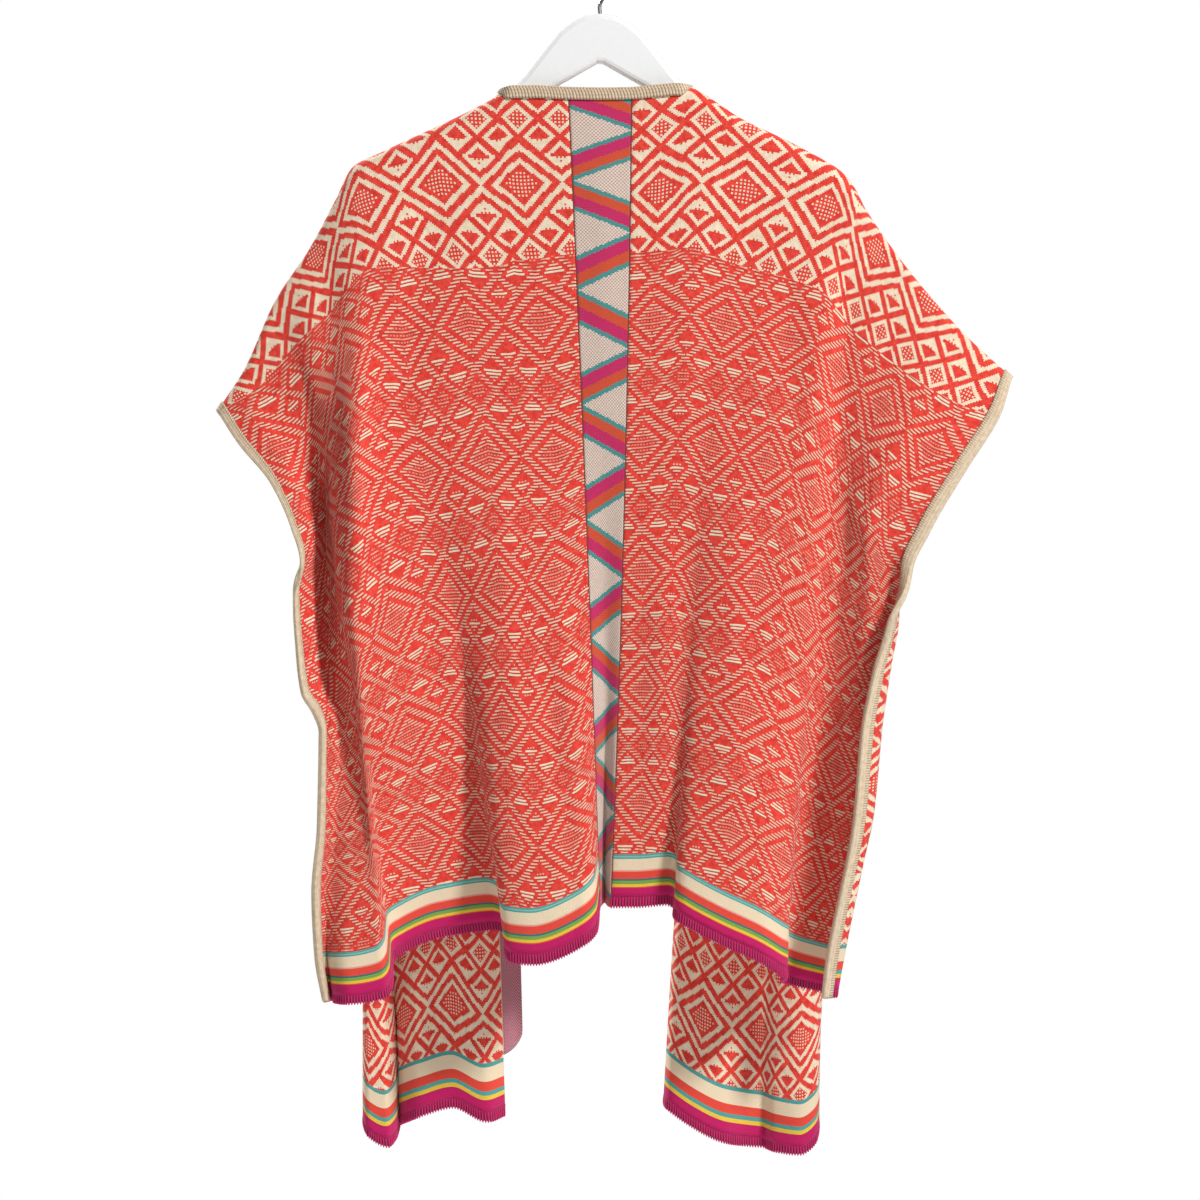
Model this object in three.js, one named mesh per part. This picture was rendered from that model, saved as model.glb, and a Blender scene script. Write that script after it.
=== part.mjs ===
// A knitted open-fronted poncho sweater hanging on a flat hanger, seen from its back.
// Millimetres. +Z is up, the wearer faces +Y, and x runs to the right as seen from behind.
// The origin is the point under the hook's curve where a rail would carry it.
import * as THREE from "three";

// Driving sizes
const CLOTH = 2.4; // thickness of the knitted cloth
const SEAM = 0.3; // space left between pieces at a seam
const BINDING_CLOTH = 1.3; // thickness of the knitted strip folded over the neck edge
const SIDE_BINDING = 3; // thickness of the strip along a side edge, pressed flat
const BINDING_WALES = 5.5; // how far a side binding reaches in from the edge, in stitches
const HANGER_THICKNESS = 12;
const HANGER_END_WALE = 138; // the stitch column that lies over the end of the hanger's arm
const SADDLE_RADIUS = 10.5; // how the cloth rounds over the arm, to the middle of the wall
const WING_RADIUS = 4.5; // the same where the sleeve hangs free past the arm
const STRIP_EDGE_WALE = 16; // half the width of the centre back strip, in stitches
const BAND_WALES = 16; // width of a front band, in stitches
const BAND_LENGTH = 0.94; // a front band ends this share of the way down the front
const MIDDLE = 0.4; // the share of a column's length at which the fold tables give a middle place

// Each stitch column, or wale, is counted out from the centre back. Fronts share the count at the shoulder.
const LEFT_NECK_WALE = 55;
const RIGHT_NECK_WALE = 50;
const LEFT_EDGE_WALE = 286;
const RIGHT_EDGE_WALE = 280;
const RIGHT_ROLL_WALE = 264; // the right back edge rolls outwards beyond this column

// Top edge of each half: back neck first, then the shoulder seam out to the sleeve tip
const LEFT_TOP = [
  { wale: 0, out: 0, z: -122.6 },
  { wale: 16, out: 28.8, z: -122 },
  { wale: 34, out: 60, z: -120.5 },
  { wale: 45, out: 79, z: -120.5 },
  { wale: 50, out: 87, z: -122.5 },
  { wale: 55, out: 94, z: -128.6 },
  { wale: 71, out: 119, z: -142.5 },
  { wale: 90, out: 148, z: -156.3 },
  { wale: 120, out: 196, z: -178.6 },
  { wale: 138, out: 224, z: -193 },
  { wale: 156, out: 238.5, z: -221 },
  { wale: 186, out: 262.5, z: -266 },
  { wale: 219, out: 294, z: -314 },
  { wale: 258, out: 322, z: -376 },
  { wale: 286, out: 346, z: -413 },
];
const RIGHT_TOP = [
  { wale: 0, out: 0, z: -122.6 },
  { wale: 16, out: 28.8, z: -122 },
  { wale: 32, out: 56, z: -119.5 },
  { wale: 41, out: 71, z: -118.5 },
  { wale: 45, out: 78, z: -119.6 },
  { wale: 50, out: 86, z: -122 },
  { wale: 62, out: 103, z: -132.6 },
  { wale: 76, out: 124.5, z: -147 },
  { wale: 112, out: 183, z: -175.8 },
  { wale: 139, out: 223, z: -201 },
  { wale: 162, out: 243, z: -235 },
  { wale: 200, out: 281, z: -288 },
  { wale: 245, out: 332, z: -346 },
  { wale: 280, out: 372.5, z: -383 },
];

// Folds, a row for each ridge, flank or valley. out is the distance from the centre line, near the
// distance from the plane of the hanger, each half way down and at the hem, and hemZ the hem's height.
const BACK_LEFT_FOLDS = [
  { wale: 16, midOut: 16, midNear: 16, hemOut: 1, hemNear: 38, hemZ: -862 },
  { wale: 30, midOut: 36, midNear: 17, hemOut: 2.5, hemNear: 54, hemZ: -880 },
  { wale: 42, midOut: 54, midNear: 18, hemOut: 14, hemNear: 64, hemZ: -893 },
  { wale: 72, midOut: 96, midNear: 20, hemOut: 58, hemNear: 66, hemZ: -910 },
  { wale: 90, midOut: 120, midNear: 21, hemOut: 79, hemNear: 60, hemZ: -908 },
  { wale: 100, midOut: 134, midNear: 21, hemOut: 84, hemNear: 46, hemZ: -902 },
  { wale: 116, midOut: 153, midNear: 21, hemOut: 82, hemNear: 20, hemZ: -890 },
  { wale: 132, midOut: 172, midNear: 23, hemOut: 94, hemNear: 12, hemZ: -884 },
  { wale: 164, midOut: 206, midNear: 34, hemOut: 142, hemNear: 12, hemZ: -890 },
  { wale: 184, midOut: 220, midNear: 40, hemOut: 174, hemNear: 16, hemZ: -902 },
  { wale: 196, midOut: 231, midNear: 39, hemOut: 187, hemNear: 28, hemZ: -912 },
  { wale: 210, midOut: 238, midNear: 31, hemOut: 186, hemNear: 50, hemZ: -930 },
  { wale: 222, midOut: 240, midNear: 19, hemOut: 192, hemNear: 62, hemZ: -940 },
  { wale: 242, midOut: 246, midNear: 15, hemOut: 222, hemNear: 64, hemZ: -945 },
  { wale: 258, midOut: 254, midNear: 21, hemOut: 237, hemNear: 50, hemZ: -945 },
  { wale: 270, midOut: 263, midNear: 36, hemOut: 240, hemNear: 36, hemZ: -944 },
  { wale: 286, midOut: 274, midNear: 46, hemOut: 246, hemNear: 50, hemZ: -944 },
];
const BACK_RIGHT_FOLDS = [
  { wale: 16, midOut: 24, midNear: 16, hemOut: 10, hemNear: 36, hemZ: -861 },
  { wale: 34, midOut: 48, midNear: 17, hemOut: 31, hemNear: 38, hemZ: -861 },
  { wale: 58, midOut: 80, midNear: 19, hemOut: 60, hemNear: 36, hemZ: -859 },
  { wale: 68, midOut: 92, midNear: 19, hemOut: 67.5, hemNear: 43, hemZ: -862 },
  { wale: 78, midOut: 104, midNear: 20, hemOut: 66, hemNear: 56, hemZ: -868 },
  { wale: 88, midOut: 115, midNear: 21, hemOut: 74, hemNear: 67, hemZ: -874 },
  { wale: 114, midOut: 144, midNear: 24, hemOut: 106, hemNear: 72, hemZ: -891 },
  { wale: 146, midOut: 176, midNear: 27, hemOut: 143, hemNear: 69, hemZ: -908 },
  { wale: 162, midOut: 190, midNear: 24, hemOut: 160, hemNear: 59, hemZ: -919 },
  { wale: 172, midOut: 198, midNear: 20, hemOut: 167, hemNear: 46, hemZ: -924 },
  { wale: 188, midOut: 209, midNear: 15, hemOut: 164, hemNear: 22, hemZ: -929 },
  { wale: 200, midOut: 217, midNear: 15, hemOut: 172, hemNear: 12, hemZ: -933 },
  { wale: 222, midOut: 232, midNear: 26, hemOut: 192, hemNear: 11, hemZ: -938 },
  { wale: 240, midOut: 244, midNear: 34, hemOut: 204, hemNear: 16, hemZ: -940 },
  { wale: 264, midOut: 261, midNear: 34, hemOut: 208, hemNear: 30, hemZ: -941 },
];
const STRIP_FOLD = { wale: 0, midOut: 4, midNear: 16, hemOut: 4.5, hemNear: 20, hemZ: -858 };
const FRONT_LEFT_FOLDS = [
  { wale: 55, midOut: 84, midNear: 30, hemOut: 70, hemNear: 52, hemZ: -1052 },
  { wale: 71, midOut: 106, midNear: 25, hemOut: 87, hemNear: 30, hemZ: -1057 },
  { wale: 89, midOut: 130, midNear: 21, hemOut: 104, hemNear: 14, hemZ: -1061 },
  { wale: 113, midOut: 160, midNear: 19, hemOut: 134, hemNear: 20, hemZ: -1049 },
  { wale: 139, midOut: 188, midNear: 20, hemOut: 162, hemNear: 16, hemZ: -1056 },
  { wale: 155, midOut: 203, midNear: 26, hemOut: 176, hemNear: 25, hemZ: -1062 },
  { wale: 167, midOut: 212, midNear: 32, hemOut: 184, hemNear: 40, hemZ: -1068 },
  { wale: 179, midOut: 220, midNear: 31, hemOut: 187, hemNear: 26, hemZ: -1078 },
  { wale: 191, midOut: 228, midNear: 28, hemOut: 194, hemNear: 14, hemZ: -1084 },
  { wale: 211, midOut: 236, midNear: 26, hemOut: 210, hemNear: 14, hemZ: -1076 },
  { wale: 221, midOut: 238, midNear: 30, hemOut: 216, hemNear: 26, hemZ: -1064 },
  { wale: 235, midOut: 240, midNear: 39, hemOut: 213, hemNear: 48, hemZ: -1057 },
  { wale: 255, midOut: 243, midNear: 50, hemOut: 192, hemNear: 64, hemZ: -1048 },
  { wale: 271, midOut: 248, midNear: 57, hemOut: 168, hemNear: 62, hemZ: -1040 },
  { wale: 286, midOut: 254, midNear: 62, hemOut: 150, hemNear: 66, hemZ: -1036 },
];
const FRONT_RIGHT_FOLDS = [
  { wale: 50, midOut: 92, midNear: 46, hemOut: 70, hemNear: 74, hemZ: -1046 },
  { wale: 66, midOut: 90, midNear: 34, hemOut: 62, hemNear: 51, hemZ: -1045 },
  { wale: 78, midOut: 96, midNear: 25, hemOut: 59, hemNear: 31, hemZ: -1047 },
  { wale: 88, midOut: 104, midNear: 19, hemOut: 63, hemNear: 16, hemZ: -1051 },
  { wale: 108, midOut: 124, midNear: 16, hemOut: 84, hemNear: 12, hemZ: -1066 },
  { wale: 134, midOut: 150, midNear: 16, hemOut: 112, hemNear: 17, hemZ: -1080 },
  { wale: 154, midOut: 168, midNear: 21, hemOut: 134, hemNear: 30, hemZ: -1085 },
  { wale: 170, midOut: 182, midNear: 26, hemOut: 150, hemNear: 34, hemZ: -1087 },
  { wale: 184, midOut: 194, midNear: 23, hemOut: 160, hemNear: 21, hemZ: -1089 },
  { wale: 202, midOut: 210, midNear: 18, hemOut: 182, hemNear: 13, hemZ: -1091 },
  { wale: 216, midOut: 222, midNear: 20, hemOut: 197, hemNear: 18, hemZ: -1080 },
  { wale: 226, midOut: 231, midNear: 29, hemOut: 200, hemNear: 33, hemZ: -1068 },
  { wale: 240, midOut: 240, midNear: 42, hemOut: 195, hemNear: 52, hemZ: -1064 },
  { wale: 258, midOut: 244, midNear: 57, hemOut: 172, hemNear: 62, hemZ: -1068 },
  { wale: 280, midOut: 240, midNear: 70, hemOut: 140, hemNear: 68, hemZ: -1074 },
];

// Side edges, a row for each section down from the sleeve tip to the hem. On the right back the
// rows are for the line about which the edge rolls: turn in degrees, and flap, the width beyond it.
const BACK_LEFT_SIDE = [
  { z: -413, out: 346 },
  { z: -443, out: 326 },
  { z: -478, out: 297 },
  { z: -518, out: 278 },
  { z: -551, out: 269 },
  { z: -582, out: 274.5 },
  { z: -632, out: 271 },
  { z: -668, out: 266 },
  { z: -686, out: 255.5 },
  { z: -704, out: 250 },
  { z: -788, out: 251 },
  { z: -847, out: 255.5 },
  { z: -903, out: 253 },
  { z: -944, out: 246 },
];
const BACK_RIGHT_SIDE = [
  { z: -366, out: 354, turn: 0, flap: 18.5 },
  { z: -408, out: 332, turn: 0, flap: 26 },
  { z: -454, out: 302, turn: 6, flap: 27 },
  { z: -510, out: 269, turn: 20, flap: 28 },
  { z: -545, out: 256, turn: 42, flap: 28 },
  { z: -567, out: 259, turn: 72, flap: 28 },
  { z: -600, out: 262, turn: 125, flap: 28 },
  { z: -644, out: 255.5, turn: 145, flap: 29 },
  { z: -694, out: 248, turn: 150, flap: 30 },
  { z: -776, out: 240, turn: 150, flap: 29 },
  { z: -820, out: 231, turn: 150, flap: 27 },
  { z: -890, out: 217, turn: 150, flap: 27 },
  { z: -941, out: 208, turn: 150, flap: 24 },
];
const FRONT_LEFT_SIDE = [
  { z: -413, out: 346 },
  { z: -466, out: 306 },
  { z: -519, out: 277 },
  { z: -580, out: 267 },
  { z: -640, out: 254 },
  { z: -720, out: 234 },
  { z: -800, out: 213 },
  { z: -900, out: 188 },
  { z: -1000, out: 162 },
  { z: -1036, out: 150 },
];
const FRONT_RIGHT_SIDE = [
  { z: -383, out: 372.5 },
  { z: -430, out: 337 },
  { z: -480, out: 306 },
  { z: -540, out: 272 },
  { z: -600, out: 254 },
  { z: -680, out: 235 },
  { z: -780, out: 210 },
  { z: -900, out: 182 },
  { z: -1000, out: 156 },
  { z: -1074, out: 140 },
];
const ROLL_BEND = 12; // width of cloth taken up by the bend of the rolled edge
const ROLL_WALES = RIGHT_EDGE_WALE - RIGHT_ROLL_WALE;

// Soft troughs that run down across the wales from the ends of the hanger
const TROUGHS = [
  { topX: -240, topZ: -228, lowX: -250, lowZ: -520, width: 15, depth: 6 },
  { topX: 226, topZ: -232, lowX: 212, lowZ: -500, width: 14, depth: 6 },
];

const cream = new THREE.MeshStandardMaterial({ color: 0xe3d3b8, roughness: 0.95 });
const coral = new THREE.MeshStandardMaterial({ color: 0xe8503f, roughness: 0.95 });
const magenta = new THREE.MeshStandardMaterial({ color: 0xc42a66, roughness: 0.95 });
const whitePlastic = new THREE.MeshStandardMaterial({ color: 0xf1f0ee, roughness: 0.4 });
const wire = new THREE.MeshStandardMaterial({ color: 0xb9bcc0, roughness: 0.3, metalness: 1 });

// Steepness of a table's smooth curve at one row: level at every ridge and valley
function rowSlope(rows, key, column, i) {
  const step = (k) => (rows[k + 1][column] - rows[k][column]) / (rows[k + 1][key] - rows[k][key]);
  if (i === 0) return step(0);
  if (i === rows.length - 1) return step(i - 1);
  const before = step(i - 1);
  const after = step(i);
  return before * after <= 0 ? 0 : (2 * before * after) / (before + after);
}

// Value of a column of a table at any place along its key, on a smooth curve through the rows
function smooth(rows, key, column, at) {
  const last = rows.length - 1;
  const down = rows[last][key] < rows[0][key] ? -1 : 1;
  if ((at - rows[0][key]) * down <= 0) {
    return rows[0][column] + rowSlope(rows, key, column, 0) * (at - rows[0][key]);
  }
  if ((at - rows[last][key]) * down >= 0) {
    return rows[last][column] + rowSlope(rows, key, column, last) * (at - rows[last][key]);
  }
  let i = 0;
  while ((at - rows[i + 1][key]) * down > 0) i += 1;
  const span = rows[i + 1][key] - rows[i][key];
  const u = (at - rows[i][key]) / span;
  const rise = rows[i + 1][column] - rows[i][column];
  const leave = rowSlope(rows, key, column, i) * span;
  const arrive = rowSlope(rows, key, column, i + 1) * span;
  const bend = u * u * (3 - 2 * u);
  return rows[i][column] + rise * bend + leave * u * (1 - u) ** 2 - arrive * u * u * (1 - u);
}

const clamp01 = (value) => Math.min(1, Math.max(0, value));

function ease(from, to, at) {
  const u = clamp01((at - from) / (to - from));
  return u * u * (3 - 2 * u);
}

// Parabola through a column's top, middle and hem values
function through(top, mid, hem, t) {
  const a = ((t - MIDDLE) * (t - 1)) / MIDDLE;
  const b = (t * (t - 1)) / (MIDDLE * (MIDDLE - 1));
  const c = (t * (t - MIDDLE)) / (1 - MIDDLE);
  return top * a + mid * b + hem * c;
}

// Mirrors a table of one half so that its wales and distances are negative on the left
function signed(rows, side) {
  return rows.map((row) => ({
    ...row,
    wale: row.wale * side,
    midX: row.midOut * side,
    hemX: row.hemOut * side,
    side,
  }));
}

const topTable = (wale) => (wale < 0 ? LEFT_TOP : RIGHT_TOP);
const neckWale = (wale) => (wale < 0 ? LEFT_NECK_WALE : RIGHT_NECK_WALE);
const topX = (wale) => Math.sign(wale) * smooth(topTable(wale), "wale", "out", Math.abs(wale));
const topZ = (wale) => smooth(topTable(wale), "wale", "z", Math.abs(wale));

function saddleRadius(wale) {
  const past = ease(HANGER_END_WALE + 12, HANGER_END_WALE + 38, Math.abs(wale));
  return SADDLE_RADIUS + (WING_RADIUS - SADDLE_RADIUS) * past;
}

// 0 at the neck edge, where the cloth simply ends, and 1 where it rounds over the shoulder
function saddleShare(cloth, wale) {
  return cloth.isBack ? ease(neckWale(wale) - 9, neckWale(wale), Math.abs(wale)) : 1;
}

// A cloth is the back as a whole, or one front. rows run across it from left to right.
const BACK = {
  isBack: true,
  length: 740,
  face: -1,
  rows: [
    ...signed(BACK_LEFT_FOLDS, -1).reverse(),
    ...signed([STRIP_FOLD], 1),
    ...signed(BACK_RIGHT_FOLDS, 1),
  ],
  leftSide: BACK_LEFT_SIDE,
  rightSide: BACK_RIGHT_SIDE,
};
const FRONT_LEFT = {
  isBack: false,
  length: 930,
  face: 1,
  rows: signed(FRONT_LEFT_FOLDS, -1).reverse(),
  leftSide: FRONT_LEFT_SIDE,
};
const FRONT_RIGHT = {
  isBack: false,
  length: 930,
  face: 1,
  rows: signed(FRONT_RIGHT_FOLDS, 1),
  rightSide: FRONT_RIGHT_SIDE,
};

// Height and share of the rounding over the shoulder, at a share t of a column's length
function drop(cloth, wale, t) {
  const radius = saddleRadius(wale);
  const top = topZ(wale);
  const arc = (Math.PI / 2) * radius;
  const length = top - smooth(cloth.rows, "wale", "hemZ", wale) + arc - radius;
  const down = length * t;
  const angle = Math.min(down, arc) / radius;
  const rounded = radius * (1 - Math.cos(angle)) + Math.max(0, down - arc);
  const share = saddleShare(cloth, wale);
  const square = down * (1 - (arc - radius) / length);
  return { z: top - square + share * (square - rounded), lift: 1 - share + share * Math.sin(angle) };
}

// How far a side edge lies from the plain curve of its last fold row, at the same level
function sideShift(cloth, row, t) {
  const side = row.side < 0 ? cloth.leftSide : cloth.rightSide;
  const plain = through(topX(row.wale), row.midX, row.hemX, t);
  return smooth(side, "z", "out", drop(cloth, row.wale, t).z) * row.side - plain;
}

// The middle of the wall at a wale and a share t of the way down it
function place(cloth, wale, t) {
  const edgeRow = wale < 0 ? cloth.rows[0] : cloth.rows[cloth.rows.length - 1];
  const shift = sideShift(cloth, edgeRow, t);
  const edgeWale = Math.abs(edgeRow.wale);
  const level = cloth.rows.map((row) => {
    const pull = clamp01((Math.abs(row.wale) - HANGER_END_WALE) / (edgeWale - HANGER_END_WALE)) ** 1.5;
    const sameSide = row.side === edgeRow.side ? pull : 0;
    return {
      wale: row.wale,
      top: topX(row.wale),
      x: through(topX(row.wale), row.midX, row.hemX, t) + shift * sameSide,
      near: through(saddleRadius(row.wale), row.midNear, row.hemNear, t),
    };
  });
  const { z, lift } = drop(cloth, wale, t);
  const onCloth = Math.sign(wale) * Math.min(Math.abs(wale), edgeWale);
  let x = smooth(level, "wale", "x", onCloth);
  let near = smooth(level, "wale", "near", onCloth);
  // Between the rows the top edge follows its own table, which the rows leave further down
  x += (topX(onCloth) - smooth(level, "wale", "top", onCloth)) * (1 - t) ** 2;
  if (cloth.isBack) {
    for (const trough of TROUGHS) {
      const along = (trough.topZ - z) / (trough.topZ - trough.lowZ);
      const centre = trough.topX + (trough.lowX - trough.topX) * clamp01(along);
      const fade = ease(0, 0.35, along) * (1 - ease(0.7, 1.25, along));
      near -= trough.depth * fade * Math.exp(-(((x - centre) / trough.width) ** 2));
    }
  }
  const beyond = Math.abs(wale) - edgeWale;
  if (cloth.isBack && wale > 0 && beyond > 0) {
    const foldZ = drop(cloth, edgeRow.wale, t).z;
    const turn = Math.max(0.001, THREE.MathUtils.degToRad(smooth(cloth.rightSide, "z", "turn", foldZ)));
    const reach = (beyond / ROLL_WALES) * smooth(cloth.rightSide, "z", "flap", foldZ);
    const bent = Math.min(reach, ROLL_BEND);
    const radius = ROLL_BEND / turn;
    const angle = bent / radius;
    x += radius * Math.sin(angle) + (reach - bent) * Math.cos(turn);
    near += radius * (1 - Math.cos(angle)) + (reach - bent) * Math.sin(turn);
  }
  return new THREE.Vector3(x, cloth.face * (SEAM / 2 + near * lift), z);
}

// Direction out of the cloth, away from the body, and direction along the course to larger wales
function directions(cloth, wale, t) {
  const dw = 0.6;
  const dt = 0.002;
  const along = place(cloth, wale + dw, t).sub(place(cloth, wale - dw, t));
  const low = Math.max(0, t - dt);
  const down = place(cloth, wale, Math.min(1, t + dt)).sub(place(cloth, wale, low));
  const out = new THREE.Vector3().crossVectors(along, down).multiplyScalar(cloth.face);
  if (t < dt) out.y *= 1 - saddleShare(cloth, wale);
  return { out: out.normalize(), along: along.clone().normalize(), perWale: along.length() / (2 * dw) };
}

const SHOULDER_ROWS = [0, 1.8, 5, 10, 17]; // distance of the first rows from the top of a column
const EVEN_ROWS = 16; // rows below them
const COLUMN_WALES = 13; // widest spacing of a panel's columns

// Rows down every piece: close together over the shoulder, then even
function rowShares(cloth) {
  const near = SHOULDER_ROWS.map((d) => d / cloth.length);
  const start = near[near.length - 1];
  const rest = Array.from({ length: EVEN_ROWS }, (_, i) => start + ((1 - start) * (i + 1)) / EVEN_ROWS);
  return [...near, ...rest];
}

// Columns of a piece between two wales: one at each fold row and others between them
function columns(cloth, from, to, extra = []) {
  const stops = [from, ...cloth.rows.map((row) => row.wale), ...extra, to];
  const inside = [...new Set(stops.filter((wale) => wale >= from && wale <= to))].sort((a, b) => a - b);
  const spaced = [];
  inside.forEach((wale, i) => {
    if (i > 0) {
      const before = inside[i - 1];
      const parts = Math.ceil((wale - before) / COLUMN_WALES);
      for (let k = 1; k < parts; k += 1) spaced.push(before + ((wale - before) * k) / parts);
    }
    spaced.push(wale);
  });
  return spaced;
}

function closedMesh(name, points, faces, material) {
  const positions = new Float32Array(points.length * 3);
  points.forEach((point, i) => point.toArray(positions, i * 3));
  let volume = 0;
  for (const [a, b, c] of faces) {
    volume += points[a].dot(new THREE.Vector3().crossVectors(points[b], points[c]));
  }
  const index = faces.flatMap(([a, b, c]) => (volume > 0 ? [a, b, c] : [a, c, b]));
  const geometry = new THREE.BufferGeometry();
  geometry.setAttribute("position", new THREE.BufferAttribute(positions, 3));
  geometry.setIndex(index);
  geometry.computeVertexNormals();
  const mesh = new THREE.Mesh(geometry, material);
  mesh.name = name;
  return mesh;
}

// A piece of cloth cut between two wales, as a wall of even thickness. length is the share of
// the column's length that it covers, and a seam leaves half the gap on a side that has one.
function panel(name, cloth, from, to, material, { seams = [], extra = [], length = 1, wall = CLOTH } = {}) {
  const wales = columns(cloth, from, to, extra);
  const points = [];
  const outer = [];
  const inner = [];
  const shares = rowShares(cloth).map((t) => t * length);
  for (const t of shares) {
    const outerRow = [];
    const innerRow = [];
    wales.forEach((wale) => {
      let at = wale;
      if (seams.includes(wale)) {
        const inward = wale === from ? 1 : -1;
        at += (inward * SEAM) / 2 / directions(cloth, wale, t).perWale;
      }
      const { out } = directions(cloth, at, t);
      const centre = place(cloth, at, t);
      outerRow.push(points.push(centre.clone().addScaledVector(out, wall / 2)) - 1);
      innerRow.push(points.push(centre.clone().addScaledVector(out, -wall / 2)) - 1);
    });
    outer.push(outerRow);
    inner.push(innerRow);
  }
  const faces = [];
  const quad = (a, b, c, d) => faces.push([a, b, c], [a, c, d]);
  const lastRow = outer.length - 1;
  const lastColumn = wales.length - 1;
  for (let r = 0; r < lastRow; r += 1) {
    for (let c = 0; c < lastColumn; c += 1) {
      quad(outer[r][c], outer[r][c + 1], outer[r + 1][c + 1], outer[r + 1][c]);
      quad(inner[r][c], inner[r + 1][c], inner[r + 1][c + 1], inner[r][c + 1]);
    }
    quad(outer[r][0], outer[r + 1][0], inner[r + 1][0], inner[r][0]);
    quad(outer[r][lastColumn], inner[r][lastColumn], inner[r + 1][lastColumn], outer[r + 1][lastColumn]);
  }
  for (let c = 0; c < lastColumn; c += 1) {
    quad(outer[0][c], inner[0][c], inner[0][c + 1], outer[0][c + 1]);
    quad(outer[lastRow][c], outer[lastRow][c + 1], inner[lastRow][c + 1], inner[lastRow][c]);
  }
  return closedMesh(name, points, faces, material);
}

// Section of the strip folded over an edge. stops run from the cloth's edge to where the strip ends
// on the cloth, each a place on the cloth and its outward direction, and away points off the edge.
function bindingSection(stops, away) {
  const clear = CLOTH / 2 + SEAM;
  const side = (height, reach) =>
    stops.map(({ at, out }, i) =>
      at.clone().addScaledVector(out, height).addScaledVector(away, i === 0 ? reach : 0),
    );
  const full = clear + BINDING_CLOTH;
  return [
    ...side(full, SEAM + BINDING_CLOTH).reverse(),
    ...side(-full, SEAM + BINDING_CLOTH),
    ...side(-clear, SEAM).reverse(),
    ...side(clear, SEAM),
  ];
}

function bindingMesh(name, sections) {
  const corners = sections[0].length;
  const stops = corners / 4;
  const points = sections.flat();
  const faces = [];
  for (let s = 0; s < sections.length - 1; s += 1) {
    for (let k = 0; k < corners; k += 1) {
      const a = s * corners + k;
      const b = s * corners + ((k + 1) % corners);
      faces.push([a, b, a + corners], [b, b + corners, a + corners]);
    }
  }
  // The open end shows as a folded strip, so its two leaves and the fold between them are closed
  const end = (sections.length - 1) * corners;
  for (let k = 0; k < 2 * stops - 1; k += 1) {
    const quad = [k, k + 1, corners - 2 - k, corners - 1 - k];
    const far = quad.map((corner) => corner + end);
    faces.push([quad[0], quad[2], quad[1]], [quad[0], quad[3], quad[2]]);
    faces.push([far[0], far[1], far[2]], [far[0], far[2], far[3]]);
  }
  return closedMesh(name, points, faces, cream);
}

// The binding down a side edge, sewn to the panel that ends where it begins
function sideBinding(name, cloth, edgeWale) {
  const seamWale = edgeWale - Math.sign(edgeWale) * BINDING_WALES;
  const from = Math.min(edgeWale, seamWale);
  const to = Math.max(edgeWale, seamWale);
  return panel(name, cloth, from, to, cream, { seams: [seamWale], wall: SIDE_BINDING });
}

// The binding along the back neck, from one shoulder to the other
const NECK_BINDING_FROM = -50;
const NECK_BINDING_TO = 43;
const NECK_BINDING_ROWS = 4; // the binding covers the cloth down to its fourth row
const LEFT_NECK_COLUMNS = [-34, -43, -46, -48, -50, -52.5, -55]; // close where the cloth turns over
const RIGHT_NECK_COLUMNS = [34, 38, 41, 43, 45, 47.5, 50];
function neckBinding(name) {
  const up = new THREE.Vector3(0, 0, 1);
  const shares = rowShares(BACK).slice(0, NECK_BINDING_ROWS);
  const stations = [...LEFT_NECK_COLUMNS, ...RIGHT_NECK_COLUMNS];
  const sections = columns(BACK, NECK_BINDING_FROM, NECK_BINDING_TO, stations).map((wale) =>
    bindingSection(
      shares.map((t) => ({ at: place(BACK, wale, t), out: directions(BACK, wale, t).out })),
      up,
    ),
  );
  return bindingMesh(name, sections);
}

// Flat moulded hanger. Its arms follow the shoulder line, just under the cloth.
const ARM_CLEAR = CLOTH / 2 + SEAM + 0.25;
const CROWN_Z = -52.7;
const ARM_DEPTH = 23; // height of an arm under the shoulder line
const HANGER_EDGE = 5; // rounding of the hanger's edges
// Stitch columns that lie over the points of each arm's upper edge, from its end to the neck
const LEFT_ARM_WALES = [131, 124, 116, 108, 100, 90, 81, 72, 63, 57, 51];
const RIGHT_ARM_WALES = [131, 124, 114, 101, 88, 76, 68, 62, 58, 51, 47];
// Half of the crown, from the hook's socket to where the arm goes under the cloth
const CROWN = [
  { out: 0, z: CROWN_Z },
  { out: 14, z: -54.6 },
  { out: 24, z: -59.6 },
  { out: 37, z: -69.3 },
  { out: 47, z: -81.5 },
  { out: 58, z: -95.5 },
  { out: 67.5, z: -108 },
  { out: 74.5, z: -115.5 },
];
// Half of the lower edge, from the notch under the socket towards the arm's end
const UNDERSIDE = [
  { out: 2.5, z: -98.2 },
  { out: 38.7, z: -118.8 },
  { out: 72.7, z: -139 },
  { out: 128.7, z: -166 },
];
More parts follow.
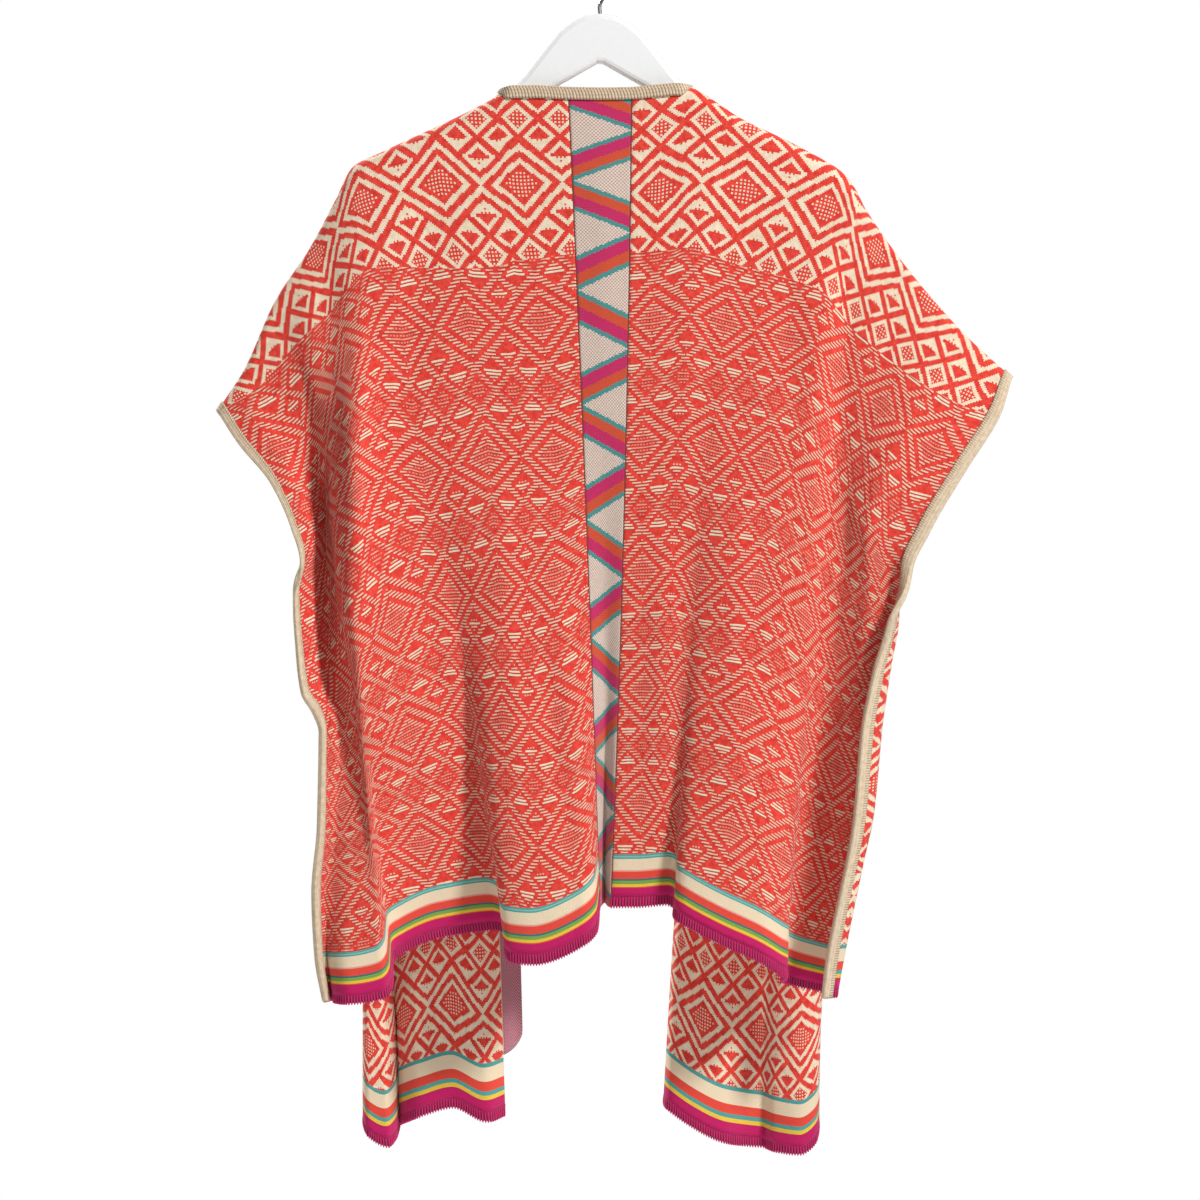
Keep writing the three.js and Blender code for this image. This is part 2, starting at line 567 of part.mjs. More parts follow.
// Corners of an arm's end, from the last point of its upper edge
const ARM_END = [
  { out: 3.5, down: 7 },
  { out: 3.5, down: ARM_DEPTH - 9 },
  { out: -4, down: ARM_DEPTH + 1 },
];
function hangerOutline() {
  const half = (side, wales) => {
    const arm = wales.map((wale) => {
      const atNeck = 1 - ease(neckWale(side) + 2, neckWale(side) + 9, wale);
      const atEnd = ease(116, 131, wale);
      const sink = ARM_CLEAR + 2.2 * atNeck + 1.5 * atEnd;
      return new THREE.Vector2(topX(side * wale), topZ(side * wale) - sink * 1.12);
    });
    const end = ARM_END.map((row) => new THREE.Vector2(arm[0].x + side * row.out, arm[0].y - row.down));
    const crown = CROWN.map((row) => new THREE.Vector2(side * row.out, row.z)).reverse();
    const under = UNDERSIDE.map((row) => new THREE.Vector2(side * row.out, row.z));
    return [...under, ...end.reverse(), ...arm, ...crown];
  };
  const left = half(-1, LEFT_ARM_WALES);
  const right = half(1, RIGHT_ARM_WALES).slice(0, -1).reverse();
  return [...left, ...right];
}

function hanger(name) {
  const geometry = new THREE.ExtrudeGeometry(new THREE.Shape(hangerOutline()), {
    depth: HANGER_THICKNESS - 2 * HANGER_EDGE,
    bevelEnabled: true,
    bevelThickness: HANGER_EDGE,
    bevelSize: HANGER_EDGE,
    bevelOffset: -HANGER_EDGE,
    bevelSegments: 3,
  });
  geometry.translate(0, 0, -(HANGER_THICKNESS - 2 * HANGER_EDGE) / 2);
  geometry.rotateX(Math.PI / 2);
  const mesh = new THREE.Mesh(geometry, whitePlastic);
  mesh.name = name;
  return mesh;
}

// Wire hook: up out of the crown, round over the rail and down to a short free end
const WIRE_RADIUS = 1.8;
const HOOK_RADIUS = 17;
function hook(name) {
  const centreZ = WIRE_RADIUS - HOOK_RADIUS;
  const points = [new THREE.Vector3(0, 0, CROWN_Z + SEAM), new THREE.Vector3(0, 0, CROWN_Z + 9)];
  const bends = 14;
  for (let i = 0; i <= bends; i += 1) {
    const angle = THREE.MathUtils.degToRad(-50 + (260 * i) / bends);
    const x = HOOK_RADIUS * Math.cos(angle);
    points.push(new THREE.Vector3(x, 0, centreZ + HOOK_RADIUS * Math.sin(angle)));
  }
  const curve = new THREE.CatmullRomCurve3(points, false, "centripetal");
  const section = new THREE.Shape();
  section.absarc(0, 0, WIRE_RADIUS, 0, 2 * Math.PI, false);
  const geometry = new THREE.ExtrudeGeometry(section, { steps: 36, extrudePath: curve, curveSegments: 5 });
  const mesh = new THREE.Mesh(geometry, wire);
  mesh.name = name;
  return mesh;
}

const leftBandWale = -(LEFT_NECK_WALE + BAND_WALES);
const rightBandWale = RIGHT_NECK_WALE + BAND_WALES;
const leftSideWale = -LEFT_EDGE_WALE + BINDING_WALES;
const rightSideWale = RIGHT_EDGE_WALE - BINDING_WALES;
const rollWales = [RIGHT_ROLL_WALE + 3.5, RIGHT_ROLL_WALE + 7];

const poncho = new THREE.Group();
poncho.add(
  panel("back_left", BACK, leftSideWale, -STRIP_EDGE_WALE, coral, {
    seams: [leftSideWale, -STRIP_EDGE_WALE],
    extra: LEFT_NECK_COLUMNS,
  }),
  panel("back_right", BACK, STRIP_EDGE_WALE, rightSideWale, coral, {
    seams: [STRIP_EDGE_WALE, rightSideWale],
    extra: [...rollWales, ...RIGHT_NECK_COLUMNS],
  }),
  panel("back_strip", BACK, -STRIP_EDGE_WALE, STRIP_EDGE_WALE, magenta, {
    seams: [-STRIP_EDGE_WALE, STRIP_EDGE_WALE],
    extra: [-8, 8],
  }),
  panel("front_left", FRONT_LEFT, leftSideWale, leftBandWale, coral, {
    seams: [leftSideWale, leftBandWale],
  }),
  panel("front_right", FRONT_RIGHT, rightBandWale, rightSideWale, coral, {
    seams: [rightBandWale, rightSideWale],
  }),
  panel("front_band_left", FRONT_LEFT, leftBandWale, -LEFT_NECK_WALE, magenta, {
    seams: [leftBandWale],
    length: BAND_LENGTH,
    extra: [leftBandWale + BAND_WALES / 2],
  }),
  panel("front_band_right", FRONT_RIGHT, RIGHT_NECK_WALE, rightBandWale, magenta, {
    seams: [rightBandWale],
    length: BAND_LENGTH,
    extra: [rightBandWale - BAND_WALES / 2],
  }),
  neckBinding("neck_binding"),
  sideBinding("side_binding_back_left", BACK, -LEFT_EDGE_WALE),
  sideBinding("side_binding_back_right", BACK, RIGHT_EDGE_WALE),
  sideBinding("side_binding_front_left", FRONT_LEFT, -LEFT_EDGE_WALE),
  sideBinding("side_binding_front_right", FRONT_RIGHT, RIGHT_EDGE_WALE),
  hanger("hanger"),
  hook("hook"),
);

export default poncho;
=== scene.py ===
# A knitted open-fronted poncho sweater on a flat white hanger, seen from its back.
# Metres in Blender and millimetres in the tables. The wearer faces +Y, and the hook's crown is the origin.
import math

import bpy
import numpy as np
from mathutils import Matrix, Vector


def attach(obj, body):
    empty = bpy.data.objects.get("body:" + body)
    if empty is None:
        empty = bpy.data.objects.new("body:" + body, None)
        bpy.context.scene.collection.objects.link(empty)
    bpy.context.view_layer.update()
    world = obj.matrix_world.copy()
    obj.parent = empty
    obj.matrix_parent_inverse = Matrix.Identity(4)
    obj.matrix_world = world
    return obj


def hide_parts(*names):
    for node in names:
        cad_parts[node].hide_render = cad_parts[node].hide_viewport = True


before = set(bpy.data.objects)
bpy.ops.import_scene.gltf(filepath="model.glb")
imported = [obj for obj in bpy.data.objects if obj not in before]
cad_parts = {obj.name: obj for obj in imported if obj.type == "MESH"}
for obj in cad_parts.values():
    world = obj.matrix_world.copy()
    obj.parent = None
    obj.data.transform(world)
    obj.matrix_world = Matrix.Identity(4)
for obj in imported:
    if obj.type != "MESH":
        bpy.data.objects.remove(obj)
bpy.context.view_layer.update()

# Hanger: one flat moulding of white polypropylene, with a faint mould grain.
# Satin plastic gives the eye a broad soft highlight along the rounded edges.
MM = 0.001


def linear(hex_colour):
    """Linear red, green, blue and alpha of an sRGB hex value."""
    parts = [int(hex_colour[k : k + 2], 16) / 255 for k in (1, 3, 5)]
    return [c / 12.92 if c <= 0.04045 else ((c + 0.055) / 1.055) ** 2.4 for c in parts] + [1.0]


def new_material(name):
    """An empty material with its Principled shader, as tree and shader."""
    made = bpy.data.materials.new(name)
    made.use_nodes = True
    return made, made.node_tree, made.node_tree.nodes["Principled BSDF"]


def add(tree, kind, inputs=(), out=0, **settings):
    """Add a shader node. inputs are links or values, in order or by the socket's name."""
    made = tree.nodes.new("ShaderNode" + kind)
    for key, value in settings.items():
        setattr(made, key, value)
    for key, value in inputs.items() if isinstance(inputs, dict) else enumerate(inputs):
        if isinstance(value, bpy.types.NodeSocket):
            tree.links.new(value, made.inputs[key])
        elif value is not None:
            made.inputs[key].default_value = value
    return made.outputs[out]


def dress(node, material):
    """Give a carried-over node its material."""
    piece = bpy.data.objects[node]
    piece.data.materials.clear()
    piece.data.materials.append(material)


plastic, tree, shader = new_material("moulded_polypropylene")
where = add(tree, "TexCoord", out=3)
grain = add(tree, "TexNoise", {"Vector": where, "Scale": 900.0, "Detail": 2.0})
tint = add(tree, "ValToRGB", {"Fac": grain})
tint.node.color_ramp.elements[0].color = linear("#DEDEDE")
tint.node.color_ramp.elements[1].color = linear("#E8E8E8")
tree.links.new(tint, shader.inputs["Base Color"])
bump = add(tree, "Bump", {"Height": grain, "Strength": 0.05, "Distance": 0.0002})
tree.links.new(bump, shader.inputs["Normal"])
shader.inputs["Roughness"].default_value = 0.38
shader.inputs["IOR"].default_value = 1.49
dress("hanger", plastic)

# Hook: one length of bright zinc-plated steel rod, bent round and pressed into the crown.
wire, tree, shader = new_material("zinc_plated_steel")
where = add(tree, "TexCoord", out=3)
streaks = add(tree, "TexNoise", {"Vector": where, "Scale": 400.0, "Detail": 1.0})
rough = add(tree, "MapRange", (streaks, 0.0, 1.0, 0.22, 0.34))
tree.links.new(rough, shader.inputs["Roughness"])
shader.inputs["Base Color"].default_value = linear("#C9CBCD")
shader.inputs["Metallic"].default_value = 1.0
dress("hook", wire)

# Knitted panels: two back halves and two fronts of double-faced jacquard in coral and cream wool.
# Each hangs from the shoulder seam over the hanger's arm, in folds that open towards the hem.
# One face shows the pattern crisply, and the other carries the loose floats of the second yarn.
CLOTH = 2.4  # thickness of the knitted cloth
SEAM = 0.3  # space left between pieces at a seam
HANGER_END_WALE = 138  # the stitch column that lies over the end of the hanger's arm
SADDLE_RADIUS = 10.5  # how the cloth rounds over the arm, to the middle of the wall
WING_RADIUS = 4.5  # the same where the sleeve hangs free past the arm
STRIP_EDGE_WALE = 16  # half the width of the centre back strip, in stitches
BAND_WALES = 16  # width of a front band, in stitches
BAND_LENGTH = 0.94  # a front band ends this share of the way down the front
MIDDLE = 0.4  # the share of a column's length at which the fold tables give a middle place
LEFT_NECK_WALE = 55
RIGHT_NECK_WALE = 50
LEFT_EDGE_WALE = 286
RIGHT_EDGE_WALE = 280
RIGHT_ROLL_WALE = 264  # the right back edge rolls outwards beyond this column
ROLL_BEND = 12  # width of cloth taken up by the bend of the rolled edge

# Top edge of each half as (wale, out, z): back neck, then the shoulder seam out to the sleeve tip
LEFT_TOP = (
    (0, 0, -122.6),
    (16, 28.8, -122),
    (34, 60, -120.5),
    (45, 79, -120.5),
    (50, 87, -122.5),
    (55, 94, -128.6),
    (71, 119, -142.5),
    (90, 148, -156.3),
    (120, 196, -178.6),
    (138, 224, -193),
    (156, 238.5, -221),
    (186, 262.5, -266),
    (219, 294, -314),
    (258, 322, -376),
    (286, 346, -413),
)
RIGHT_TOP = (
    (0, 0, -122.6),
    (16, 28.8, -122),
    (32, 56, -119.5),
    (41, 71, -118.5),
    (45, 78, -119.6),
    (50, 86, -122),
    (62, 103, -132.6),
    (76, 124.5, -147),
    (112, 183, -175.8),
    (139, 223, -201),
    (162, 243, -235),
    (200, 281, -288),
    (245, 332, -346),
    (280, 372.5, -383),
)

# Folds as (wale, mid out, mid near, hem out, hem near, hem z), a row for each ridge, flank or valley.
# out is the distance from the centre line and near the distance from the plane of the hanger.
BACK_LEFT_FOLDS = (
    (16, 16, 16, 1, 38, -862),
    (30, 36, 17, 2.5, 54, -880),
    (42, 54, 18, 14, 64, -893),
    (72, 96, 20, 58, 66, -910),
    (90, 120, 21, 79, 60, -908),
    (100, 134, 21, 84, 46, -902),
    (116, 153, 21, 82, 20, -890),
    (132, 172, 23, 94, 12, -884),
    (164, 206, 34, 142, 12, -890),
    (184, 220, 40, 174, 16, -902),
    (196, 231, 39, 187, 28, -912),
    (210, 238, 31, 186, 50, -930),
    (222, 240, 19, 192, 62, -940),
    (242, 246, 15, 222, 64, -945),
    (258, 254, 21, 237, 50, -945),
    (270, 263, 36, 240, 36, -944),
    (286, 274, 46, 246, 50, -944),
)
BACK_RIGHT_FOLDS = (
    (16, 24, 16, 10, 36, -861),
    (34, 48, 17, 31, 38, -861),
    (58, 80, 19, 60, 36, -859),
    (68, 92, 19, 67.5, 43, -862),
    (78, 104, 20, 66, 56, -868),
    (88, 115, 21, 74, 67, -874),
    (114, 144, 24, 106, 72, -891),
    (146, 176, 27, 143, 69, -908),
    (162, 190, 24, 160, 59, -919),
    (172, 198, 20, 167, 46, -924),
    (188, 209, 15, 164, 22, -929),
    (200, 217, 15, 172, 12, -933),
    (222, 232, 26, 192, 11, -938),
    (240, 244, 34, 204, 16, -940),
    (264, 261, 34, 208, 30, -941),
)
FRONT_LEFT_FOLDS = (
    (55, 84, 30, 70, 52, -1052),
    (71, 106, 25, 87, 30, -1057),
    (89, 130, 21, 104, 14, -1061),
    (113, 160, 19, 134, 20, -1049),
    (139, 188, 20, 162, 16, -1056),
    (155, 203, 26, 176, 25, -1062),
    (167, 212, 32, 184, 40, -1068),
    (179, 220, 31, 187, 26, -1078),
    (191, 228, 28, 194, 14, -1084),
    (211, 236, 26, 210, 14, -1076),
    (221, 238, 30, 216, 26, -1064),
    (235, 240, 39, 213, 48, -1057),
    (255, 243, 50, 192, 64, -1048),
    (271, 248, 57, 168, 62, -1040),
    (286, 254, 62, 150, 66, -1036),
)
FRONT_RIGHT_FOLDS = (
    (50, 92, 46, 70, 74, -1046),
    (66, 90, 34, 62, 51, -1045),
    (78, 96, 25, 59, 31, -1047),
    (88, 104, 19, 63, 16, -1051),
    (108, 124, 16, 84, 12, -1066),
    (134, 150, 16, 112, 17, -1080),
    (154, 168, 21, 134, 30, -1085),
    (170, 182, 26, 150, 34, -1087),
    (184, 194, 23, 160, 21, -1089),
    (202, 210, 18, 182, 13, -1091),
    (216, 222, 20, 197, 18, -1080),
    (226, 231, 29, 200, 33, -1068),
    (240, 240, 42, 195, 52, -1064),
    (258, 244, 57, 172, 62, -1068),
    (280, 240, 70, 140, 68, -1074),
)
STRIP_FOLD = (0, 4, 16, 4.5, 20, -858)

# Side edges as (z, out) down from the sleeve tip. The right back's are for the line about which the
# edge rolls, with the turn in degrees and the width of the flap beyond it.
BACK_LEFT_SIDE = (
    (-413, 346),
    (-443, 326),
    (-478, 297),
    (-518, 278),
    (-551, 269),
    (-582, 274.5),
    (-632, 271),
    (-668, 266),
    (-686, 255.5),
    (-704, 250),
    (-788, 251),
    (-847, 255.5),
    (-903, 253),
    (-944, 246),
)
BACK_RIGHT_SIDE = (
    (-366, 354, 0, 18.5),
    (-408, 332, 0, 26),
    (-454, 302, 6, 27),
    (-510, 269, 20, 28),
    (-545, 256, 42, 28),
    (-567, 259, 72, 28),
    (-600, 262, 125, 28),
    (-644, 255.5, 145, 29),
    (-694, 248, 150, 30),
    (-776, 240, 150, 29),
    (-820, 231, 150, 27),
    (-890, 217, 150, 27),
    (-941, 208, 150, 24),
)
FRONT_LEFT_SIDE = (
    (-413, 346),
    (-466, 306),
    (-519, 277),
    (-580, 267),
    (-640, 254),
    (-720, 234),
    (-800, 213),
    (-900, 188),
    (-1000, 162),
    (-1036, 150),
)
FRONT_RIGHT_SIDE = (
    (-383, 372.5),
    (-430, 337),
    (-480, 306),
    (-540, 272),
    (-600, 254),
    (-680, 235),
    (-780, 210),
    (-900, 182),
    (-1000, 156),
    (-1074, 140),
)

# Soft troughs and ridges laid over the folds, as (top x, top z, low x, low z, width, depth). A depth
# under 0 is a ridge. The first two run down from the ends of the hanger's arms.
BACK_CREASES = (
    (-240, -228, -250, -520, 15, 6),
    (226, -232, 212, -500, 14, 6),
    (-216, -300, -221, -700, 12, -9),
    (-246, -400, -249, -820, 9, 12),
    (-150, -180, -176, -420, 20, 2.5),
    (-96, -420, -74, -780, 17, -3),
    (-128, -520, -104, -820, 14, 3.5),
    (-52, -600, -18, -860, 12, 3),
    (62, -500, 52, -800, 14, -3),
    (120, -430, 126, -840, 22, -4),
    (168, -250, 182, -560, 17, 2.5),
    (196, -420, 176, -840, 12, -4),
    (228, -560, 204, -880, 11, 4),
)
FRONT_CREASES = (
    (-236, -240, -238, -560, 16, 5),
    (228, -240, 222, -540, 15, 5),
    (-176, -260, -150, -700, 20, 3),
    (-120, -420, -92, -900, 16, -3),
    (-200, -560, -178, -980, 13, -4),
    (108, -300, 84, -760, 18, 3.5),
    (150, -520, 128, -980, 15, -3),
    (196, -440, 186, -900, 12, 3),
)


def slopes(keys, values):
    """Steepness of a smooth curve at each row of a table: level at every ridge and valley."""
    step = np.diff(values) / np.diff(keys)
    slope = np.empty(len(values))
    slope[0] = step[0]
    slope[-1] = step[-1]
    before, after = step[:-1], step[1:]
    same = before * after > 0
    slope[1:-1] = np.where(same, 2 * before * after / np.where(same, before + after, 1), 0)
    return slope


def smooth(keys, values, at):
    """Values at any places along a table's keys, on a smooth curve through its rows."""
    keys = np.asarray(keys, float)
    values = np.asarray(values, float)
    at = np.asarray(at, float)
    if keys[-1] < keys[0]:
        keys, at = -keys, -at
    slope = slopes(keys, values)
    i = np.clip(np.searchsorted(keys, at) - 1, 0, len(keys) - 2)
    span = keys[i + 1] - keys[i]
    u = (at - keys[i]) / span
    bend = u * u * (3 - 2 * u)
    leave = slope[i] * span * u * (1 - u) ** 2
    arrive = slope[i + 1] * span * u * u * (1 - u)
    inside = values[i] + (values[i + 1] - values[i]) * bend + leave - arrive
    inside = np.where(at < keys[0], values[0] + slope[0] * (at - keys[0]), inside)
    return np.where(at > keys[-1], values[-1] + slope[-1] * (at - keys[-1]), inside)


def ease(start, end, at):
    u = np.clip((at - start) / (end - start), 0, 1)
    return u * u * (3 - 2 * u)


def through(top, mid, hem, t):
    """Parabola through a column's top, middle and hem values."""
    a = (t - MIDDLE) * (t - 1) / MIDDLE
    b = t * (t - 1) / (MIDDLE * (MIDDLE - 1))
    c = t * (t - MIDDLE) / (1 - MIDDLE)
    return top * a + mid * b + hem * c


def half(side, top, folds, edge, neck_wale):
    """One side of a cloth: its tables as columns, counted outwards from the centre line."""
    folds = np.array(sorted(map(tuple, folds)), float).T
    left, right = (np.array(rows, float).T for rows in (LEFT_TOP, RIGHT_TOP))
    left_tops = -smooth(left[0], left[1], np.abs(folds[0]))
    right_tops = smooth(right[0], right[1], np.abs(folds[0]))
    return {
        "side": side,
        "top": np.array(top, float).T,
        "folds": folds,
        "fold_tops": np.where(folds[0] < 0, left_tops, right_tops),
        "edge": np.array(edge, float).T,
        "neck": neck_wale,
    }


def signed(folds, side):
    """A half's fold rows with their distances out from the centre line given its side's sign."""
    turned = np.array(folds, float)
    turned[:, [0, 1, 3]] *= side
    return turned.tolist()


BACK_FOLDS = [*signed(BACK_LEFT_FOLDS, -1), STRIP_FOLD, *signed(BACK_RIGHT_FOLDS, 1)]
BACK = {
    "name": "back",
    "face": -1,
    "length": 740,
    "creases": BACK_CREASES,
    -1: half(-1, LEFT_TOP, BACK_FOLDS, BACK_LEFT_SIDE, LEFT_NECK_WALE),
    1: half(1, RIGHT_TOP, BACK_FOLDS, BACK_RIGHT_SIDE, RIGHT_NECK_WALE),
}
FRONT_LEFT = {
    "name": "front",
    "face": 1,
    "length": 930,
    "creases": FRONT_CREASES,
    -1: half(-1, LEFT_TOP, signed(FRONT_LEFT_FOLDS, -1), FRONT_LEFT_SIDE, LEFT_NECK_WALE),
}
FRONT_RIGHT = {
    "name": "front",
    "face": 1,
    "length": 930,
    "creases": FRONT_CREASES,
    1: half(1, RIGHT_TOP, signed(FRONT_RIGHT_FOLDS, 1), FRONT_RIGHT_SIDE, RIGHT_NECK_WALE),
}


def top_x(part, wales):
    return part["side"] * smooth(part["top"][0], part["top"][1], np.abs(wales))


def top_z(part, wales):
    return smooth(part["top"][0], part["top"][2], np.abs(wales))


def saddle_radius(wales):
    past = ease(HANGER_END_WALE + 12, HANGER_END_WALE + 38, np.abs(wales))
    return SADDLE_RADIUS + (WING_RADIUS - SADDLE_RADIUS) * past


def saddle_share(cloth, part, wales):
    """0 at the neck edge, where the cloth simply ends, and 1 where it rounds over the shoulder."""
    if cloth["name"] == "front":
        return np.ones(np.shape(wales))
    return ease(part["neck"] - 9, part["neck"], np.abs(wales))


def drop(cloth, part, wales, t):
    """Height, and share of the rounding over the shoulder, t of the way down each column."""
    radius = saddle_radius(wales)
    top = top_z(part, wales)
    arc = math.pi / 2 * radius
    length = top - smooth(part["folds"][0], part["folds"][5], wales) + arc - radius
    down = length * t
    angle = np.minimum(down, arc) / radius
    rounded = radius * (1 - np.cos(angle)) + np.maximum(0, down - arc)
    share = saddle_share(cloth, part, wales)
    square = down * (1 - (arc - radius) / length)
    return top - square + share * (square - rounded), 1 - share + share * np.sin(angle)


def hung_half(cloth, part, wales, t):
    """Middle of the wall of one side of a cloth along a course, in millimetres."""
    side = part["side"]
    fold_wales, mid_x, mid_near, hem_x, hem_near, _ = part["folds"]
    last = 0 if side < 0 else -1
    edge_wale = fold_wales[last]
    edge_z = float(drop(cloth, part, edge_wale, t)[0])
    edge_top = float(top_x(part, edge_wale))
    shift = smooth(part["edge"][0], part["edge"][1], edge_z) * side
    shift = shift - through(edge_top, mid_x[last], hem_x[last], t)
    reach = abs(edge_wale) - HANGER_END_WALE
    pull = np.clip((fold_wales * side - HANGER_END_WALE) / reach, 0, 1) ** 1.5
    fold_tops = part["fold_tops"]
    level_x = through(fold_tops, mid_x, hem_x, t) + shift * pull
    level_near = through(saddle_radius(fold_wales), mid_near, hem_near, t)
    on_cloth = np.clip(wales, -abs(edge_wale), abs(edge_wale))
    x = smooth(fold_wales, level_x, on_cloth)
    near = smooth(fold_wales, level_near, on_cloth)
    z, lift = drop(cloth, part, wales, t)
    x = x + (top_x(part, on_cloth) - smooth(fold_wales, fold_tops, on_cloth)) * (1 - t) ** 2
    for at_x, at_z, low_x, low_z, width, depth in cloth["creases"]:
        along = (at_z - z) / (at_z - low_z)
        centre = at_x + (low_x - at_x) * np.clip(along, 0, 1)
        fade = ease(0, 0.35, along) * (1 - ease(0.7, 1.25, along))
        near = near - depth * fade * np.exp(-(((x - centre) / width) ** 2))
    if cloth["name"] == "back" and side > 0:
        beyond = np.maximum(0, wales - edge_wale)
        fold_z, turn, flap = (float(drop(cloth, part, edge_wale, t)[0]), *part["edge"][2:])
        turn = max(0.001, math.radians(smooth(part["edge"][0], turn, fold_z)))
        reach = beyond / (RIGHT_EDGE_WALE - RIGHT_ROLL_WALE) * smooth(part["edge"][0], flap, fold_z)
        bent = np.minimum(reach, ROLL_BEND)
        radius = ROLL_BEND / turn
        x = x + radius * np.sin(bent / radius) + (reach - bent) * math.cos(turn)
        near = near + radius * (1 - np.cos(bent / radius)) + (reach - bent) * math.sin(turn)
    return np.stack([x, cloth["face"] * (SEAM / 2 + near * lift), z], axis=-1)


def hung(cloth, wales, t):
    """Middle of the wall along a course of the whole cloth, from left to right."""
    wales = np.asarray(wales, float)
    rows = []
    for side, chosen in ((-1, wales < 0), (1, wales >= 0)):
        if chosen.any():
            rows.append(hung_half(cloth, cloth[side], wales[chosen], t))
    return np.concatenate(rows)


def hung_grid(cloth, wales, shares):
    """Middle of the wall over a grid, with the direction out of the cloth at each place."""
    centres = np.stack([hung(cloth, wales, t) for t in shares])
    step = 0.6
    across = np.stack([hung(cloth, wales + step, t) - hung(cloth, wales - step, t) for t in shares])
    below = np.stack([hung(cloth, wales, min(1, t + 0.002)) for t in shares])
    above = np.stack([hung(cloth, wales, max(0, t - 0.002)) for t in shares])
    out = cloth["face"] * np.cross(across, below - above)
    if cloth["name"] == "back":
        part = cloth[-1 if wales[0] < 0 and wales[-1] <= 0 else 1]
        top_rows = np.asarray(shares) < 0.002
        out[top_rows, :, 1] *= 1 - saddle_share(cloth, part, wales)
    out /= np.linalg.norm(out, axis=-1, keepdims=True)
    return centres, out


# Courses: rows of knitting, counted down from the yoke's first row of big diamonds at the centre back
YOKE_COURSE = 1.6  # height of a row above the line where the cloth's faces change over, in millimetres
BODY_COURSE = 1.57  # and below it
CHANGE_COURSE = 38
NECK_COURSE = -57
# The shoulder is shaped, so a column at the sleeve tip starts this far down
LEFT_TIP_COURSE = 35
RIGHT_TIP_COURSE = 10
BACK_HEM_COURSE = 419
FRONT_HEM_COURSE = 545
REPEAT_STITCHES = 44
REPEAT_COURSES = 72

# Where the hung cloth's stretch carries the middles of the big diamonds, as (wale, course) from the
# centre outwards, a row for each repeat down. The first diamond is centred so many stitches out.
LEFT_FIRST_STITCH = 27
LEFT_DIAMONDS = (
    ((43, -4), (91, -10), (135, 0), (183, 3)),
    ((37, 73), (82, 67), (123, 77), (168, 75), (207, 81), (268, 70)),
    ((34, 149), (76, 140), (124, 157), (176, 147)),
    ((40, 216), (75, 213), (114, 224), (161, 232)),
    ((46, 291), (80, 286), (119, 293), (163, 298)),
    ((45, 360), (82, 353), (130, 362), (166, 362), (209, 349)),
)
RIGHT_FIRST_STITCH = 17
RIGHT_DIAMONDS = (
    ((32, 3), (83, -5), (132, -7), (174, -9), (217, -5)),
    ((31, 78), (78, 73), (121, 71), (166, 65), (212, 62), (259, 67)),
    ((27, 150), (75, 147), (119, 142)),
    ((30, 224), (73, 224), (123, 211)),
    ((35, 292), (64, 294), (122, 282), (179, 280)),
    ((36, 358), (68, 364), (117, 352)),
)
# The two lowest rows of each front, counted from its own band
FRONT_LEFT_DIAMONDS = (
    ((109, 409), (154, 409), (208, 412)),
    ((109, 481), (154, 481), (210, 486)),
)
FRONT_RIGHT_DIAMONDS = (
    ((112, 406), (166, 401), (204, 399)),
    ((113, 478), (166, 473), (202, 471)),
)


def courses(cloth, wales, shares):
    """Row of knitting at each place of a grid, and the height above the hem in millimetres."""
    neck = np.where(wales < 0, LEFT_NECK_WALE, RIGHT_NECK_WALE)
    tip = np.where(wales < 0, LEFT_EDGE_WALE, RIGHT_EDGE_WALE)
    out = np.clip((np.abs(wales) - neck) / (tip - neck), 0, 1)
    tip_course = np.where(wales < 0, LEFT_TIP_COURSE, RIGHT_TIP_COURSE)
    first = NECK_COURSE + (tip_course - NECK_COURSE) * out
    hem = BACK_HEM_COURSE if cloth["name"] == "back" else FRONT_HEM_COURSE
    yoke = (CHANGE_COURSE - first) * YOKE_COURSE
    body = (hem - CHANGE_COURSE) * BODY_COURSE
    down = np.asarray(shares)[:, None] * (yoke + body)[None]
    course = np.where(down < yoke, first + down / YOKE_COURSE, CHANGE_COURSE + (down - yoke) / BODY_COURSE)
    return course, yoke + body - down


def stretched(diamonds, first_stitch, wales, course):
    """Chart's stitch and row at each place, so that the big diamonds come where the table has them."""
    stitch_shift, course_shift, middles = [], [], []
    for k, row in enumerate(diamonds):
        at, measured = np.array(row, float).T
        centres = first_stitch + STRIP_EDGE_WALE + REPEAT_STITCHES * np.arange(len(row))
        stitch_shift.append(np.interp(np.abs(wales), at, centres - at))
        course_shift.append(np.interp(np.abs(wales), at, REPEAT_COURSES * k - measured))
        middles.append(np.interp(np.abs(wales), at, measured))
    stitch, chart_course = np.empty_like(course), np.empty_like(course)
    for k, wale in enumerate(np.abs(wales)):
        down = np.clip(course[:, k], middles[0][k], middles[-1][k])
        keys = [row[k] for row in middles]
        stitch[:, k] = wale + smooth(keys, [row[k] for row in stitch_shift], down)
        chart_course[:, k] = course[:, k] + smooth(keys, [row[k] for row in course_shift], down)
    return stitch - STRIP_EDGE_WALE - first_stitch, chart_course


def spread(start, end, step):
    return np.linspace(start, end, max(2, int(round(abs(end - start) / step)) + 1))


def down_shares(cloth, step=5.0, length=1.0):
    """Places down the columns: close together over the shoulder, then even."""
    near = np.array([0, 1, 2.2, 3.6, 5.2, 7, 9, 11.2, 13.6, 16.4, 20]) / cloth["length"]
    return np.concatenate([near, spread(near[-1], 1, step / cloth["length"])[1:]]) * length


